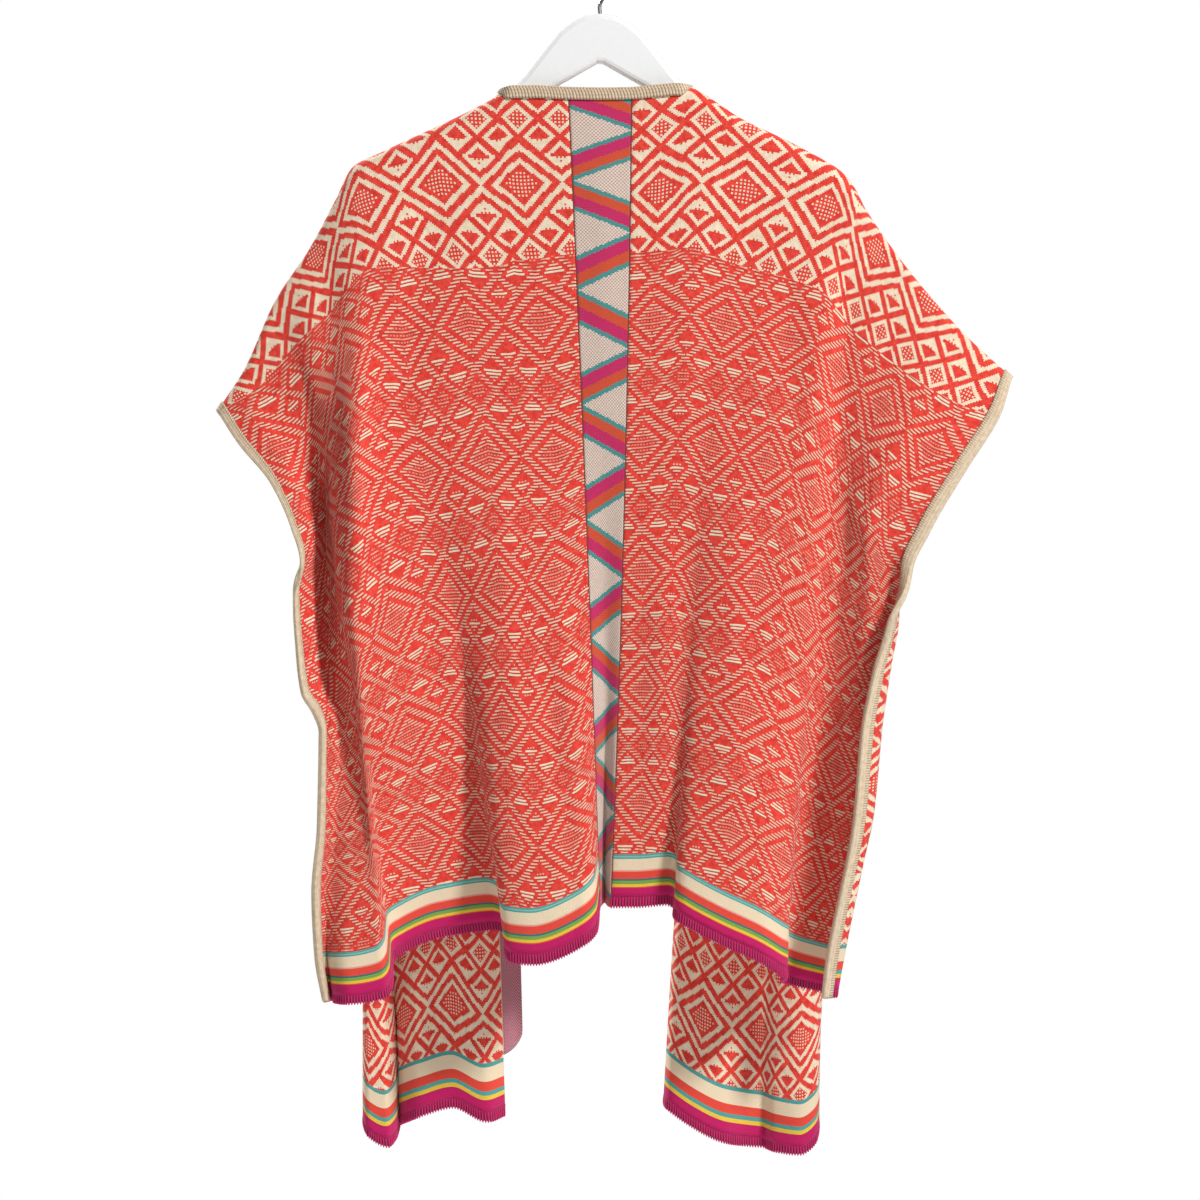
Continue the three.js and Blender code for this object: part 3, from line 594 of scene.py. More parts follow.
def outward(points, quads):
    """The faces of a closed piece, turned over if they face inwards."""
    first, second, third = (points[quads[:, k]] for k in (0, 1, 2))
    volume = np.einsum("ij,ij->i", first, np.cross(second, third)).sum()
    return quads[:, ::-1] if volume < 0 else quads


def knitted(name, points, faces):
    """A smooth piece from its points and faces."""
    mesh = bpy.data.meshes.new(name)
    mesh.from_pydata(points, [], faces)
    mesh.polygons.foreach_set("use_smooth", np.ones(len(mesh.polygons), bool))
    piece = bpy.data.objects.new(name, mesh)
    bpy.context.scene.collection.objects.link(piece)
    return piece


def shell(name, outer, inner, facts):
    """A closed wall from two grids of points. facts are the grids of numbers that its material reads."""
    rows, columns = outer.shape[:2]
    count = rows * columns
    points = np.concatenate([outer.reshape(-1, 3), inner.reshape(-1, 3)]) * MM
    index = np.arange(count).reshape(rows, columns)
    a, b = index[:-1, :-1].ravel(), index[:-1, 1:].ravel()
    c, d = index[1:, 1:].ravel(), index[1:, :-1].ravel()
    faces = [np.stack([a, b, c, d], 1), np.stack([a, d, c, b], 1) + count]
    border = np.concatenate([index[0, :-1], index[:-1, -1], index[-1, :0:-1], index[:0:-1, 0]])
    after = np.roll(border, -1)
    faces.append(np.stack([after, border, border + count, after + count], 1))
    piece = knitted(name, points, outward(points, np.concatenate(faces)))
    attributes = piece.data.attributes
    for key, grid in facts.items():
        values = np.tile(grid.ravel(), 2).astype(np.float32)
        attributes.new(key, "FLOAT", "POINT").data.foreach_set("value", values)
    side = np.zeros(len(piece.data.polygons), np.float32)
    side[: len(a)] = 1
    attributes.new("outside", "FLOAT", "FACE").data.foreach_set("value", side)
    return piece


ROLL_IN = 0.8  # stitches next to a seam that turn inwards to it
SEAM_WALL = 0.45  # share of the wall's thickness left at the bottom of a seam's groove
RIB_HEIGHT = 9  # the notched rib knitted on under the hem's smooth magenta courses
RIB_PITCH = 2.6
RIB_RISE = 0.6  # how far each ridge of the rib stands out
PANEL_STEP = 2.5  # stitches from one column of a panel's mesh to the next
RIB_STEP = 0.38  # and of a rib's


def panel(name, cloth, start, end, seam, diamonds):
    """A knitted piece cut between two stitch columns, turned in along the one where it is sewn."""
    wales = spread(start, end, PANEL_STEP)
    wales = np.sort(np.append(wales, seam + np.sign(np.mean(wales) - seam) * ROLL_IN))
    shares = down_shares(cloth, length=1 - RIB_HEIGHT / cloth["length"])
    centres, out = hung_grid(cloth, wales, shares)
    out[:, wales == seam] *= SEAM_WALL
    course, hem = courses(cloth, wales, shares)
    first = LEFT_FIRST_STITCH if start < 0 else RIGHT_FIRST_STITCH
    stitch, chart_course = stretched(diamonds, first, wales, course)
    above = np.clip(CHANGE_COURSE - course, -10, 10)
    facts = {"stitch": stitch, "course": chart_course, "above": above, "hem": hem}
    return shell(name, centres + out * CLOTH / 2, centres - out * CLOTH / 2, facts)


def rib(name, cloth, start, end):
    """The hem's rib: a row of upright ridges, with a scalloped edge where each one ends."""
    shares = 1 - np.array([RIB_HEIGHT + 1.5, RIB_HEIGHT, 6, 3, 1.2, 0]) / cloth["length"]
    coarse = spread(start, end, PANEL_STEP)
    wales = spread(start, end, RIB_STEP)
    finer = []
    for grid in hung_grid(cloth, coarse, shares):
        rows = [[np.interp(wales, coarse, row[:, k]) for k in range(3)] for row in grid]
        finer.append(np.transpose(rows, (0, 2, 1)))
    centres, out = finer
    run = np.linalg.norm(np.diff(centres[-1], axis=0), axis=-1)
    along = np.concatenate([[0], np.cumsum(run)])
    ridge = np.cos(2 * math.pi * along / RIB_PITCH)[None, :]
    strength = np.array([0, 0.2, 0.8, 1, 1, 0.7])[:, None]
    wall = CLOTH / 2 * np.array([0.7, 1, 1, 1, 0.95, 0.6])[:, None] + RIB_RISE * ridge * strength
    centres[-1, :, 2] -= 1.1 * ridge[0]
    facts = {"ridge": ridge * strength}
    return shell(name, centres + out * wall[..., None], centres - out * wall[..., None], facts)


left_band = -(LEFT_NECK_WALE + BAND_WALES)
right_band = RIGHT_NECK_WALE + BAND_WALES
# Name, cloth, left and right column, the column of the seam, and where the big diamonds come
back_left, back_right, front_left, front_right = (
    panel(name, cloth, start, end, seam, diamonds)
    for name, cloth, start, end, seam, diamonds in (
        ("back_left_knit", BACK, -LEFT_EDGE_WALE, -STRIP_EDGE_WALE, -STRIP_EDGE_WALE, LEFT_DIAMONDS),
        ("back_right_knit", BACK, STRIP_EDGE_WALE, RIGHT_EDGE_WALE, STRIP_EDGE_WALE, RIGHT_DIAMONDS),
        ("front_left_knit", FRONT_LEFT, -LEFT_EDGE_WALE, left_band, left_band, FRONT_LEFT_DIAMONDS),
        ("front_right_knit", FRONT_RIGHT, right_band, RIGHT_EDGE_WALE, right_band, FRONT_RIGHT_DIAMONDS),
    )
)

ribs = (
    rib("back_left_rib", BACK, -LEFT_EDGE_WALE, -STRIP_EDGE_WALE),
    rib("back_right_rib", BACK, STRIP_EDGE_WALE, RIGHT_EDGE_WALE),
    rib("front_left_rib", FRONT_LEFT, -LEFT_EDGE_WALE, left_band),
    rib("front_right_rib", FRONT_RIGHT, right_band, RIGHT_EDGE_WALE),
)
ribbed_wool, tree, shader = new_material("ribbed_magenta_wool")
ridge = add(tree, "Attribute", out=2, attribute_name="ridge")
where = add(tree, "TexCoord", out=3)
mottle = add(tree, "TexNoise", {"Vector": where, "Scale": 500.0, "Detail": 2.0})
# Colour lighter on the rib's ridges and darker in its grooves: painted light and shade, over a real random
# mottle
tone_and_painted_ridge_light = add(tree, "Math", (mottle, 0.8, ridge), operation="MULTIPLY_ADD")
magenta = add(tree, "ValToRGB", {"Fac": tone_and_painted_ridge_light})
magenta.node.color_ramp.elements[0].position = 0.0
magenta.node.color_ramp.elements[0].color = linear("#6A0833")
magenta.node.color_ramp.elements[1].position = 0.75
magenta.node.color_ramp.elements[1].color = linear("#C01860")
tree.links.new(magenta, shader.inputs["Base Color"])
shader.inputs["Roughness"].default_value = 0.95
shader.inputs["Sheen Weight"].default_value = 0.08
for piece in ribs:
    piece.data.materials.append(ribbed_wool)
    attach(piece, "root")

# The knitted wool itself: two-ply coral and cream in a jacquard of nested diamonds, matt and a little
# hairy. Half of a repeat is 22 stitches by 36 rows, and a small diamond is half as wide.
wool, tree, shader = new_material("jacquard_wool_knit")
stitch = add(tree, "Attribute", out=2, attribute_name="stitch")
course = add(tree, "Attribute", out=2, attribute_name="course")
above = add(tree, "Attribute", out=2, attribute_name="above")
hem = add(tree, "Attribute", out=2, attribute_name="hem")
outside = add(tree, "Attribute", out=2, attribute_name="outside")
above_change = add(tree, "Math", (above, 0.0), operation="GREATER_THAN")
differs = add(tree, "Math", (outside, above_change), operation="SUBTRACT")
differs = add(tree, "Math", (differs,), operation="ABSOLUTE")
crisp = add(tree, "Math", (1.0, differs), operation="SUBTRACT")
loose = add(tree, "Math", (1.0, crisp), operation="SUBTRACT")
where = add(tree, "TexCoord", out=3)
# Floats sag a little, so their rows waver
waver = add(tree, "TexNoise", {"Vector": where, "Scale": 130.0, "Detail": 1.0})
waver = add(tree, "MapRange", (waver, 0.3, 0.7, -0.15, 0.15))
hung_course = add(tree, "Math", (waver, loose, course), operation="MULTIPLY_ADD")
# A row of floats on the loose face is as high as this many rows of the chart
FLOAT_ROW = 1.8
row_step = add(tree, "Math", (loose, FLOAT_ROW - 1, 1.0), operation="MULTIPLY_ADD")
s = add(tree, "Math", (stitch,), operation="FLOOR")
c = add(tree, "Math", (hung_course, row_step), operation="SNAP")
across = add(tree, "Math", (s, REPEAT_STITCHES / 2), operation="PINGPONG")
down = add(tree, "Math", (c, REPEAT_COURSES / 2), operation="PINGPONG")
from_big = add(tree, "Math", (across, 0.86, down), operation="MULTIPLY_ADD")
in_big = add(tree, "Math", (from_big, 24.6), operation="LESS_THAN")
# Small diamonds are counted up from the row midway between two rows of big ones
CELL = REPEAT_STITCHES / 4
up = add(tree, "Math", (REPEAT_COURSES / 2, down), operation="SUBTRACT")
up = add(tree, "Math", (up, 1.065), operation="MULTIPLY")
fold_across = add(tree, "Math", (across, CELL), operation="PINGPONG")
fold_up = add(tree, "Math", (up, CELL), operation="PINGPONG")
cell_sum = add(tree, "Math", (fold_across, fold_up), operation="ADD")
from_cell = add(tree, "Math", (cell_sum, CELL), operation="PINGPONG")
even_cell = add(tree, "Math", (cell_sum, CELL), operation="LESS_THAN")
low_cell = add(tree, "Math", (up, CELL), operation="LESS_THAN")
dotted_cell = add(tree, "Math", (even_cell, low_cell), operation="MULTIPLY")
outline = add(tree, "Math", (from_big, 20.6, 1.8), operation="COMPARE")
inner_outline = add(tree, "Math", (from_big, 12.8, 1.65), operation="COMPARE")
big_core = add(tree, "Math", (from_big, 7.9), operation="LESS_THAN")
odd_stitch = add(tree, "Math", (s, 2.0), operation="FLOORED_MODULO")
dot_row = add(tree, "Math", (c, row_step), operation="DIVIDE")
odd_course = add(tree, "Math", (dot_row, 2.0), operation="FLOORED_MODULO")
no_dot = add(tree, "Math", (odd_stitch, odd_course), operation="MAXIMUM")
dot = add(tree, "Math", (no_dot, 0.5), operation="LESS_THAN")
dotted_core = add(tree, "Math", (big_core, dot), operation="MULTIPLY")
big_cream = add(tree, "Math", (outline, inner_outline), operation="MAXIMUM")
big_cream = add(tree, "Math", (big_cream, dotted_core), operation="MAXIMUM")
cell_line = add(tree, "Math", (from_cell, 7.2, 1.5), operation="COMPARE")
in_cell = add(tree, "Math", (from_cell, 6.0), operation="LESS_THAN")
cell_start = add(tree, "Math", (even_cell, CELL, up), operation="MULTIPLY_ADD")
cell_rise = add(tree, "Math", (cell_start, 2 * CELL), operation="FLOORED_MODULO")
crown = add(tree, "Math", (cell_rise, 11.8), operation="GREATER_THAN")
crown_core = add(tree, "Math", (from_cell, 4.6), operation="LESS_THAN")
crown_dot = add(tree, "Math", (crown_core, dot), operation="MULTIPLY")
crown_cream = add(tree, "Math", (crown, crown_dot), operation="SUBTRACT")
cell_fill = add(tree, "Mix", {0: dotted_cell, 2: crown_cream, 3: dot})
cell_fill = add(tree, "Math", (cell_fill, in_cell), operation="MULTIPLY")
small_cream = add(tree, "Math", (cell_line, cell_fill), operation="MAXIMUM")
chart = add(tree, "Mix", {0: in_big, 2: small_cream, 3: big_cream})
# On the loose face the cream shows as floats wherever the chart is coral. A float is a slack thread
# over part of the height of its row, with its shadow under it. The longest floats are bunched and pale.
row_place = add(tree, "Math", (hung_course, FLOAT_ROW), operation="FLOORED_MODULO")
float_here = add(tree, "Math", (1.0, chart), operation="SUBTRACT")
widest = add(tree, "Math", (cell_rise, 10.2, 1.6), operation="COMPARE")
long_float = add(tree, "Math", (widest, in_cell), operation="MULTIPLY")
long_float = add(tree, "Math", (long_float, dotted_cell), operation="SUBTRACT")
long_float = add(tree, "Math", (long_float, in_big), operation="SUBTRACT", use_clamp=True)
half_height = add(tree, "Math", (long_float, 0.2, 0.42), operation="MULTIPLY_ADD")
thread = add(tree, "Math", (row_place, 0.5, half_height), operation="COMPARE")
floats = add(tree, "Math", (float_here, thread), operation="MULTIPLY")
cream_share = add(tree, "Mix", {0: crisp, 2: floats, 3: chart})
# Painted shadow: a strip under each float's thread is darkened in the colour
shadow_under_float = add(tree, "Math", (row_place, 1.2, 0.24), operation="COMPARE")
shadow_under_float = add(tree, "Math", (shadow_under_float, float_here), operation="MULTIPLY")
shadow_under_float = add(tree, "Math", (shadow_under_float, loose), operation="MULTIPLY")
stripe_top = add(tree, "MapRange", (crisp, 0.0, 1.0, 48.0, 54.0))
plain_knit = add(tree, "Math", (hem, stripe_top), operation="GREATER_THAN")
shadow_under_float = add(tree, "Math", (shadow_under_float, plain_knit), operation="MULTIPLY")
floats = add(tree, "Math", (floats, plain_knit), operation="MULTIPLY")
mottle = add(tree, "TexNoise", {"Vector": where, "Scale": 260.0, "Detail": 3.0})
coral = add(tree, "ValToRGB", {"Fac": mottle})
coral.node.color_ramp.elements[0].position = 0.3
coral.node.color_ramp.elements[0].color = linear("#CF3028")
coral.node.color_ramp.elements[1].position = 0.7
coral.node.color_ramp.elements[1].color = linear("#EC4C3E")
cream = add(tree, "ValToRGB", {"Fac": mottle})
cream.node.color_ramp.elements[0].position = 0.3
cream.node.color_ramp.elements[0].color = linear("#E2CBAC")
cream.node.color_ramp.elements[1].position = 0.7
cream.node.color_ramp.elements[1].color = linear("#F2E0C6")
# Painted bounce light: the floats' cream is tinted towards coral, as red light thrown from the coral round
# them, most on short floats and none on the longest
short_float = add(tree, "Mix", {0: in_big, 2: dotted_cell, 3: big_core})
painted_bounce_tint = add(tree, "Math", (short_float, 0.34, 0.26), operation="MULTIPLY_ADD")
painted_bounce_tint = add(tree, "Math", (painted_bounce_tint, long_float), operation="SUBTRACT", use_clamp=True)
painted_bounce_tint = add(tree, "Math", (painted_bounce_tint, loose), operation="MULTIPLY")
cream = add(tree, "Mix", {0: painted_bounce_tint, 6: cream, 7: coral}, out=2, data_type="RGBA")
body_colour = add(tree, "Mix", {0: cream_share, 6: coral, 7: cream}, out=2, data_type="RGBA")

# Coloured courses over the hem, up from its edge in millimetres: the crisp face, then the loose one
CRISP_HEM = (
    (0, "#C01860"),
    (20, "#E6C040"),
    (24, "#4F9E98"),
    (28, "#E2493A"),
    (37, "#E8D4B4"),
    (50, "#4F9E98"),
)
LOOSE_HEM = (
    (0, "#C01860"),
    (17.5, "#DE4A38"),
    (18.5, "#E6C040"),
    (21, "#76A24C"),
    (24, "#3C6C74"),
    (25.7, "#E2493A"),
    (32.2, "#E79A8A"),
    (33.6, "#E8D4B4"),
    (43.6, "#4AA39C"),
    (45.2, "#8FB8AC"),
    (46.2, "#4AA39C"),
)
HEM_HEIGHT = 60
stripes = []
for rows_up in (CRISP_HEM, LOOSE_HEM):
    share = add(tree, "Math", (hem, HEM_HEIGHT), operation="DIVIDE")
    ramp = add(tree, "ValToRGB", {"Fac": share})
    ramp.node.color_ramp.interpolation = "CONSTANT"
    points = ramp.node.color_ramp.elements
    points[0].color = linear(rows_up[0][1])
    points.remove(points[1])
    for height, colour in rows_up[1:]:
        points.new(height / HEM_HEIGHT).color = linear(colour)
    stripes.append(ramp)
stripe_colour = add(tree, "Mix", {0: crisp, 6: stripes[1], 7: stripes[0]}, out=2, data_type="RGBA")
knit_colour = add(tree, "Mix", {0: plain_knit, 6: stripe_colour, 7: body_colour}, out=2, data_type="RGBA")
# Stitches: two leaning legs to a stitch on the crisp face, and rows of low bumps on the loose one,
# where the bands without floats stand a little higher
leg = add(tree, "Math", (stitch, 0.25), operation="PINGPONG")
lean = add(tree, "Math", (stitch, 0.5), operation="PINGPONG")
lean = add(tree, "Math", (lean, 1.3, course), operation="MULTIPLY_ADD")
loop = add(tree, "Math", (lean, 0.5), operation="PINGPONG")
vee = add(tree, "Math", (leg, loop), operation="ADD")
bead = add(tree, "Math", (stitch, 0.5), operation="PINGPONG")
bead = add(tree, "Math", (bead, 0.3, loop), operation="MULTIPLY_ADD")
band = add(tree, "Math", (chart, 0.5, bead), operation="MULTIPLY_ADD")
band = add(tree, "Math", (floats, 1.1, band), operation="MULTIPLY_ADD")
height = add(tree, "Mix", {0: crisp, 2: band, 3: vee})
# Painted shade: the colour is darker in the hollows between stitch legs and bumps
painted_shade = add(tree, "MapRange", (vee, 0.0, 0.5, 0.8, 1.0))
painted_bead_shade = add(tree, "MapRange", (bead, 0.0, 0.4, 0.9, 1.0))
painted_float_shadow = add(tree, "MapRange", (shadow_under_float, 0.0, 1.0, 1.0, 0.6))
painted_bead_shade = add(tree, "Math", (painted_bead_shade, painted_float_shadow), operation="MULTIPLY")
painted_shade = add(tree, "Mix", {0: crisp, 2: painted_bead_shade, 3: painted_shade})
shaded = {0: 1.0, 6: knit_colour, 7: painted_shade}
knit_colour = add(tree, "Mix", shaded, out=2, data_type="RGBA", blend_type="MULTIPLY")
tree.links.new(knit_colour, shader.inputs["Base Color"])
bump = add(tree, "Bump", {"Height": height, "Strength": 0.6, "Distance": 0.0008})
tree.links.new(bump, shader.inputs["Normal"])
shader.inputs["Roughness"].default_value = 0.95
shader.inputs["Specular IOR Level"].default_value = 0.25
shader.inputs["Sheen Weight"].default_value = 0.08
shader.inputs["Sheen Roughness"].default_value = 0.5
# Width and length off the needles, and the area once the shoulder is shaped
for piece, edging, node, flat, area in (
    (back_left, ribs[0], "back_left", (0.364, 0.74), 0.250),
    (back_right, ribs[1], "back_right", (0.356, 0.74), 0.245),
    (front_left, ribs[2], "front_left", (0.280, 0.93), 0.236),
    (front_right, ribs[3], "front_right", (0.280, 0.93), 0.242),
):
    piece.data.materials.append(wool)
    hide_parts(node)
    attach(piece, "root")

# Centre back strip and front bands: narrow pieces knitted in a zigzag of teal, magenta and orange
# limbs on flecked cream, and sewn to the panels' edges. Their wrong sides are flecks of all the yarns.
# ZIGZAG_POINTS has the height of the point of each triangle that stands on the strip's left edge.
ZIGZAG_POINTS = (-66, -159.3, -252, -357.3, -459, -565.2, -671.4, -775.8, -880, -984, -1088)
ROUNDING = 16  # radius at the foot of a front band's free edge
ZIGZAG_STITCHES = 32


def zigzag_piece(name, cloth, start, end, length=1.0, free=None):
    """A strip between two stitch columns. A front's band is rounded off at the foot of its free edge."""
    wales = np.sort(np.append(spread(start, end, 1.6), (start + ROLL_IN, end - ROLL_IN)))
    shares = down_shares(cloth, length=length)
    centres, out = hung_grid(cloth, wales, shares)
    if free is not None:
        inside = np.clip(ROUNDING - np.abs(wales - free), 0, ROUNDING)
        cut = ROUNDING - np.sqrt(ROUNDING**2 - inside**2)
        rows = np.arange(len(shares))
        for j in range(len(wales)):
            kept = rows * (1 - cut[j] / (cloth["length"] * length))
            for k in range(3):
                centres[:, j, k] = np.interp(kept, rows, centres[:, j, k])
                out[:, j, k] = np.interp(kept, rows, out[:, j, k])
    out[:, [0, -1]] *= SEAM_WALL
    turn = smooth(ZIGZAG_POINTS, range(len(ZIGZAG_POINTS)), centres[..., 2])
    stitch = np.tile((wales - start) / (end - start), (len(shares), 1))
    course, _ = courses(cloth, wales, shares)
    facts = {"stitch": stitch, "turn": turn, "course": course}
    return shell(name, centres + out * CLOTH / 2, centres - out * CLOTH / 2, facts)


back_strip = zigzag_piece("back_strip_knit", BACK, -STRIP_EDGE_WALE, STRIP_EDGE_WALE)
band_left, band_right = (
    zigzag_piece(name, cloth, start, end, BAND_LENGTH, free)
    for name, cloth, start, end, free in (
        ("front_band_left_knit", FRONT_LEFT, left_band, -LEFT_NECK_WALE, -LEFT_NECK_WALE),
        ("front_band_right_knit", FRONT_RIGHT, RIGHT_NECK_WALE, right_band, RIGHT_NECK_WALE),
    )
)


def seam_thread(name, cloth, wale, face, length=1.0):
    """The sewing thread that shows in the groove of a seam, as a round cord of linked stitches."""
    shares = spread(0.006, length - 0.002, 1.4 / cloth["length"])
    aside = np.array([wale - 1.0, wale, wale + 1.0])
    centres, out = hung_grid(cloth, aside, shares)
    along = np.arange(len(shares))
    depth = CLOTH / 2 * SEAM_WALL + 0.25 + 0.12 * (along % 2)
    path = centres[:, 1] + face * out[:, 1] * depth[:, None]
    side = centres[:, 2] - centres[:, 0]
    side /= np.linalg.norm(side, axis=-1, keepdims=True)
    turns = np.radians(np.arange(0, 360, 72))
    ring = [side * math.cos(a) + out[:, 1] * math.sin(a) for a in turns]
    thick = (0.42 + 0.08 * (along % 2))[:, None]
    points = np.stack([path + thick * spoke for spoke in ring], axis=1).reshape(-1, 3) * MM
    index = np.arange(len(points)).reshape(len(shares), len(turns))
    after = np.roll(index, -1, axis=1)
    quads = np.stack([index[:-1], index[1:], after[1:], after[:-1]], -1).reshape(-1, 4)
    ends = [index[0].tolist(), index[-1, ::-1].tolist()]
    return knitted(name, points, quads.tolist() + ends)


dark_thread, tree, shader = new_material("brown_sewing_cotton")
shader.inputs["Base Color"].default_value = linear("#6E3B33")
shader.inputs["Roughness"].default_value = 0.8
pale_thread, tree, shader = new_material("cream_sewing_cotton")
shader.inputs["Base Color"].default_value = linear("#CDB79A")
shader.inputs["Roughness"].default_value = 0.8
for name, cloth, wale, face, thread, length in (
    ("seam_strip_left", BACK, -STRIP_EDGE_WALE, 1, dark_thread, 1.0),
    ("seam_strip_right", BACK, STRIP_EDGE_WALE, 1, dark_thread, 1.0),
    ("seam_band_left", FRONT_LEFT, left_band, -1, pale_thread, BAND_LENGTH),
    ("seam_band_right", FRONT_RIGHT, right_band, -1, pale_thread, BAND_LENGTH),
    ("seam_band_left_face", FRONT_LEFT, left_band, 1, dark_thread, BAND_LENGTH),
    ("seam_band_right_face", FRONT_RIGHT, right_band, 1, dark_thread, BAND_LENGTH),
):
    piece = seam_thread(name, cloth, wale, face, length)
    piece.data.materials.append(thread)
    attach(piece, "root")

zigzag_wool, tree, shader = new_material("zigzag_wool_knit")
stitch = add(tree, "Attribute", out=2, attribute_name="stitch")
turn = add(tree, "Attribute", out=2, attribute_name="turn")
course = add(tree, "Attribute", out=2, attribute_name="course")
outside = add(tree, "Attribute", out=2, attribute_name="outside")
place = add(tree, "Math", (stitch, 1 / ZIGZAG_STITCHES), operation="SNAP")
step = add(tree, "Math", (turn, 1 / 68), operation="SNAP")
from_point = add(tree, "Math", (step, 0.5), operation="PINGPONG")
# The cream triangle on the left edge is 42% of a turn high there, and narrows to its point
start = add(tree, "MapRange", (place, 0.0, 1.0, 0.209, 0.0))
limb = add(tree, "Math", (from_point, start), operation="SUBTRACT")
limb = add(tree, "Math", (limb, 0.291), operation="DIVIDE")
yarns = add(tree, "ValToRGB", {"Fac": limb})
yarns.node.color_ramp.interpolation = "CONSTANT"
points = yarns.node.color_ramp.elements
points[0].color = linear("#3F8E8B")
points.remove(points[1])
for share, colour in ((0.14, "#C4175C"), (0.52, "#CF4A26"), (0.85, "#3F8E8B")):
    points.new(share).color = linear(colour)
past = add(tree, "Math", (limb, 1.0), operation="GREATER_THAN")
before = add(tree, "Math", (limb, 0.0), operation="LESS_THAN")
ground = add(tree, "Math", (past, before), operation="MAXIMUM")
where = add(tree, "TexCoord", out=3)
mottle = add(tree, "TexNoise", {"Vector": where, "Scale": 300.0, "Detail": 2.0})
# The ground is a bird's eye: every other stitch of every other row lets the yarns behind show
column = add(tree, "Math", (stitch, ZIGZAG_STITCHES), operation="MULTIPLY")
whole_column = add(tree, "Math", (column,), operation="FLOOR")
whole_row = add(tree, "Math", (course,), operation="FLOOR")
parity = add(tree, "Math", (whole_column, whole_row), operation="ADD")
parity = add(tree, "Math", (parity, 2.0), operation="FLOORED_MODULO")
eye = add(tree, "Math", (mottle, 0.5, parity), operation="MULTIPLY_ADD")
flecked = add(tree, "ValToRGB", {"Fac": eye})
points = flecked.node.color_ramp.elements
points[0].position = 0.2
points[0].color = linear("#EFDCC6")
points[1].position = 0.95
points[1].color = linear("#B79C98")
face_colour = add(tree, "Mix", {0: ground, 6: yarns, 7: flecked}, out=2, data_type="RGBA")
mixed = add(tree, "ValToRGB", {"Fac": eye})
points = mixed.node.color_ramp.elements
points[0].position = 0.3
points[0].color = linear("#8E2452")
points[1].position = 0.9
points[1].color = linear("#CF8F94")
zigzag_colour = add(tree, "Mix", {0: outside, 6: mixed, 7: face_colour}, out=2, data_type="RGBA")
leg = add(tree, "Math", (column, 0.25), operation="PINGPONG")
lean = add(tree, "Math", (column, 0.5), operation="PINGPONG")
lean = add(tree, "Math", (lean, 1.3, course), operation="MULTIPLY_ADD")
loop = add(tree, "Math", (lean, 0.5), operation="PINGPONG")
height = add(tree, "Math", (leg, loop), operation="ADD")
# Painted shade: the colour is darker in the hollows between stitch legs
painted_shade = add(tree, "MapRange", (height, 0.0, 0.6, 0.74, 1.0))
shaded = {0: 1.0, 6: zigzag_colour, 7: painted_shade}
zigzag_colour = add(tree, "Mix", shaded, out=2, data_type="RGBA", blend_type="MULTIPLY")
tree.links.new(zigzag_colour, shader.inputs["Base Color"])
bump = add(tree, "Bump", {"Height": height, "Strength": 0.6, "Distance": 0.0008})
tree.links.new(bump, shader.inputs["Normal"])
shader.inputs["Roughness"].default_value = 0.92
shader.inputs["Sheen Weight"].default_value = 0.25
for piece, node, flat in (
    (back_strip, "back_strip", (0.050, 0.74)),
    (band_left, "front_band_left", (0.024, 0.874)),
    (band_right, "front_band_right", (0.024, 0.874)),
):
    piece.data.materials.append(zigzag_wool)
    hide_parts(node)
    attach(piece, "root")

# Bindings: narrow strips of cream knit folded over the raw edges of the neck and sides, and
# overlocked through. The knit is finely ribbed along its length.
BINDING_CLOTH = 1.3
BINDING_WALES = 5.5  # how far the folded strip reaches in from the edge, in stitches
CLEAR = CLOTH / 2 + SEAM


def folded_strip(name, centres, out, away, pitch, stitched_from):
    """A strip folded over an edge. Column 0 of the grid is on the edge and the last where the strip ends.
    pitch is from one overlock stitch to the next, and they run in from stitched_from of the width."""
    full = CLEAR + BINDING_CLOTH
    around = [centres[:, k] + out[:, k] * full for k in range(centres.shape[1] - 1, 0, -1)]
    bends = np.linspace(90, -90, 9)
    for angle in np.radians(bends):
        reach = away * (SEAM + BINDING_CLOTH) * math.cos(angle)
        around.append(centres[:, 0] + reach + out[:, 0] * full * math.sin(angle))
    around += [centres[:, k] - out[:, k] * full for k in range(1, centres.shape[1])]
    inside = [centres[:, k] - out[:, k] * CLEAR for k in range(centres.shape[1] - 1, 0, -1)]
    for angle in np.radians(bends[::-1]):
        reach = away * SEAM * math.cos(angle)
        inside.append(centres[:, 0] + reach + out[:, 0] * CLEAR * math.sin(angle))
    inside += [centres[:, k] + out[:, k] * CLEAR for k in range(1, centres.shape[1])]
    loop = np.stack(around + inside, axis=1)
    stations, corners = loop.shape[:2]
    points = loop.reshape(-1, 3) * MM
    index = np.arange(stations * corners).reshape(stations, corners)
    after = np.roll(index, -1, axis=1)
    quads = [np.stack([index[:-1], after[:-1], after[1:], index[1:]], -1).reshape(-1, 4)]
    for end, turned in ((0, False), (stations - 1, True)):
        k = np.arange(corners // 2 - 1)
        cap = np.stack([k, corners - 1 - k, corners - 2 - k, k + 1], 1) + end * corners
        quads.append(cap[:, ::-1] if turned else cap)
    piece = knitted(name, points, outward(points, np.concatenate(quads)))
    run = np.linalg.norm(np.diff(loop, axis=0), axis=-1)
    along = np.concatenate([np.zeros((1, corners)), np.cumsum(run, axis=0)])
    across = np.concatenate([np.linspace(1, 0, corners // 4), np.linspace(0, 1, corners // 2 - corners // 4)])
    across = np.tile(np.concatenate([across, 1 - 0 * across]), (stations, 1))
    stitched = np.clip((across - stitched_from) * 12, 0, 1)
    for key, grid in (("along", along / pitch), ("across", across), ("stitched", stitched)):
        values = grid.ravel().astype(np.float32)
        piece.data.attributes.new(key, "FLOAT", "POINT").data.foreach_set("value", values)
    return piece


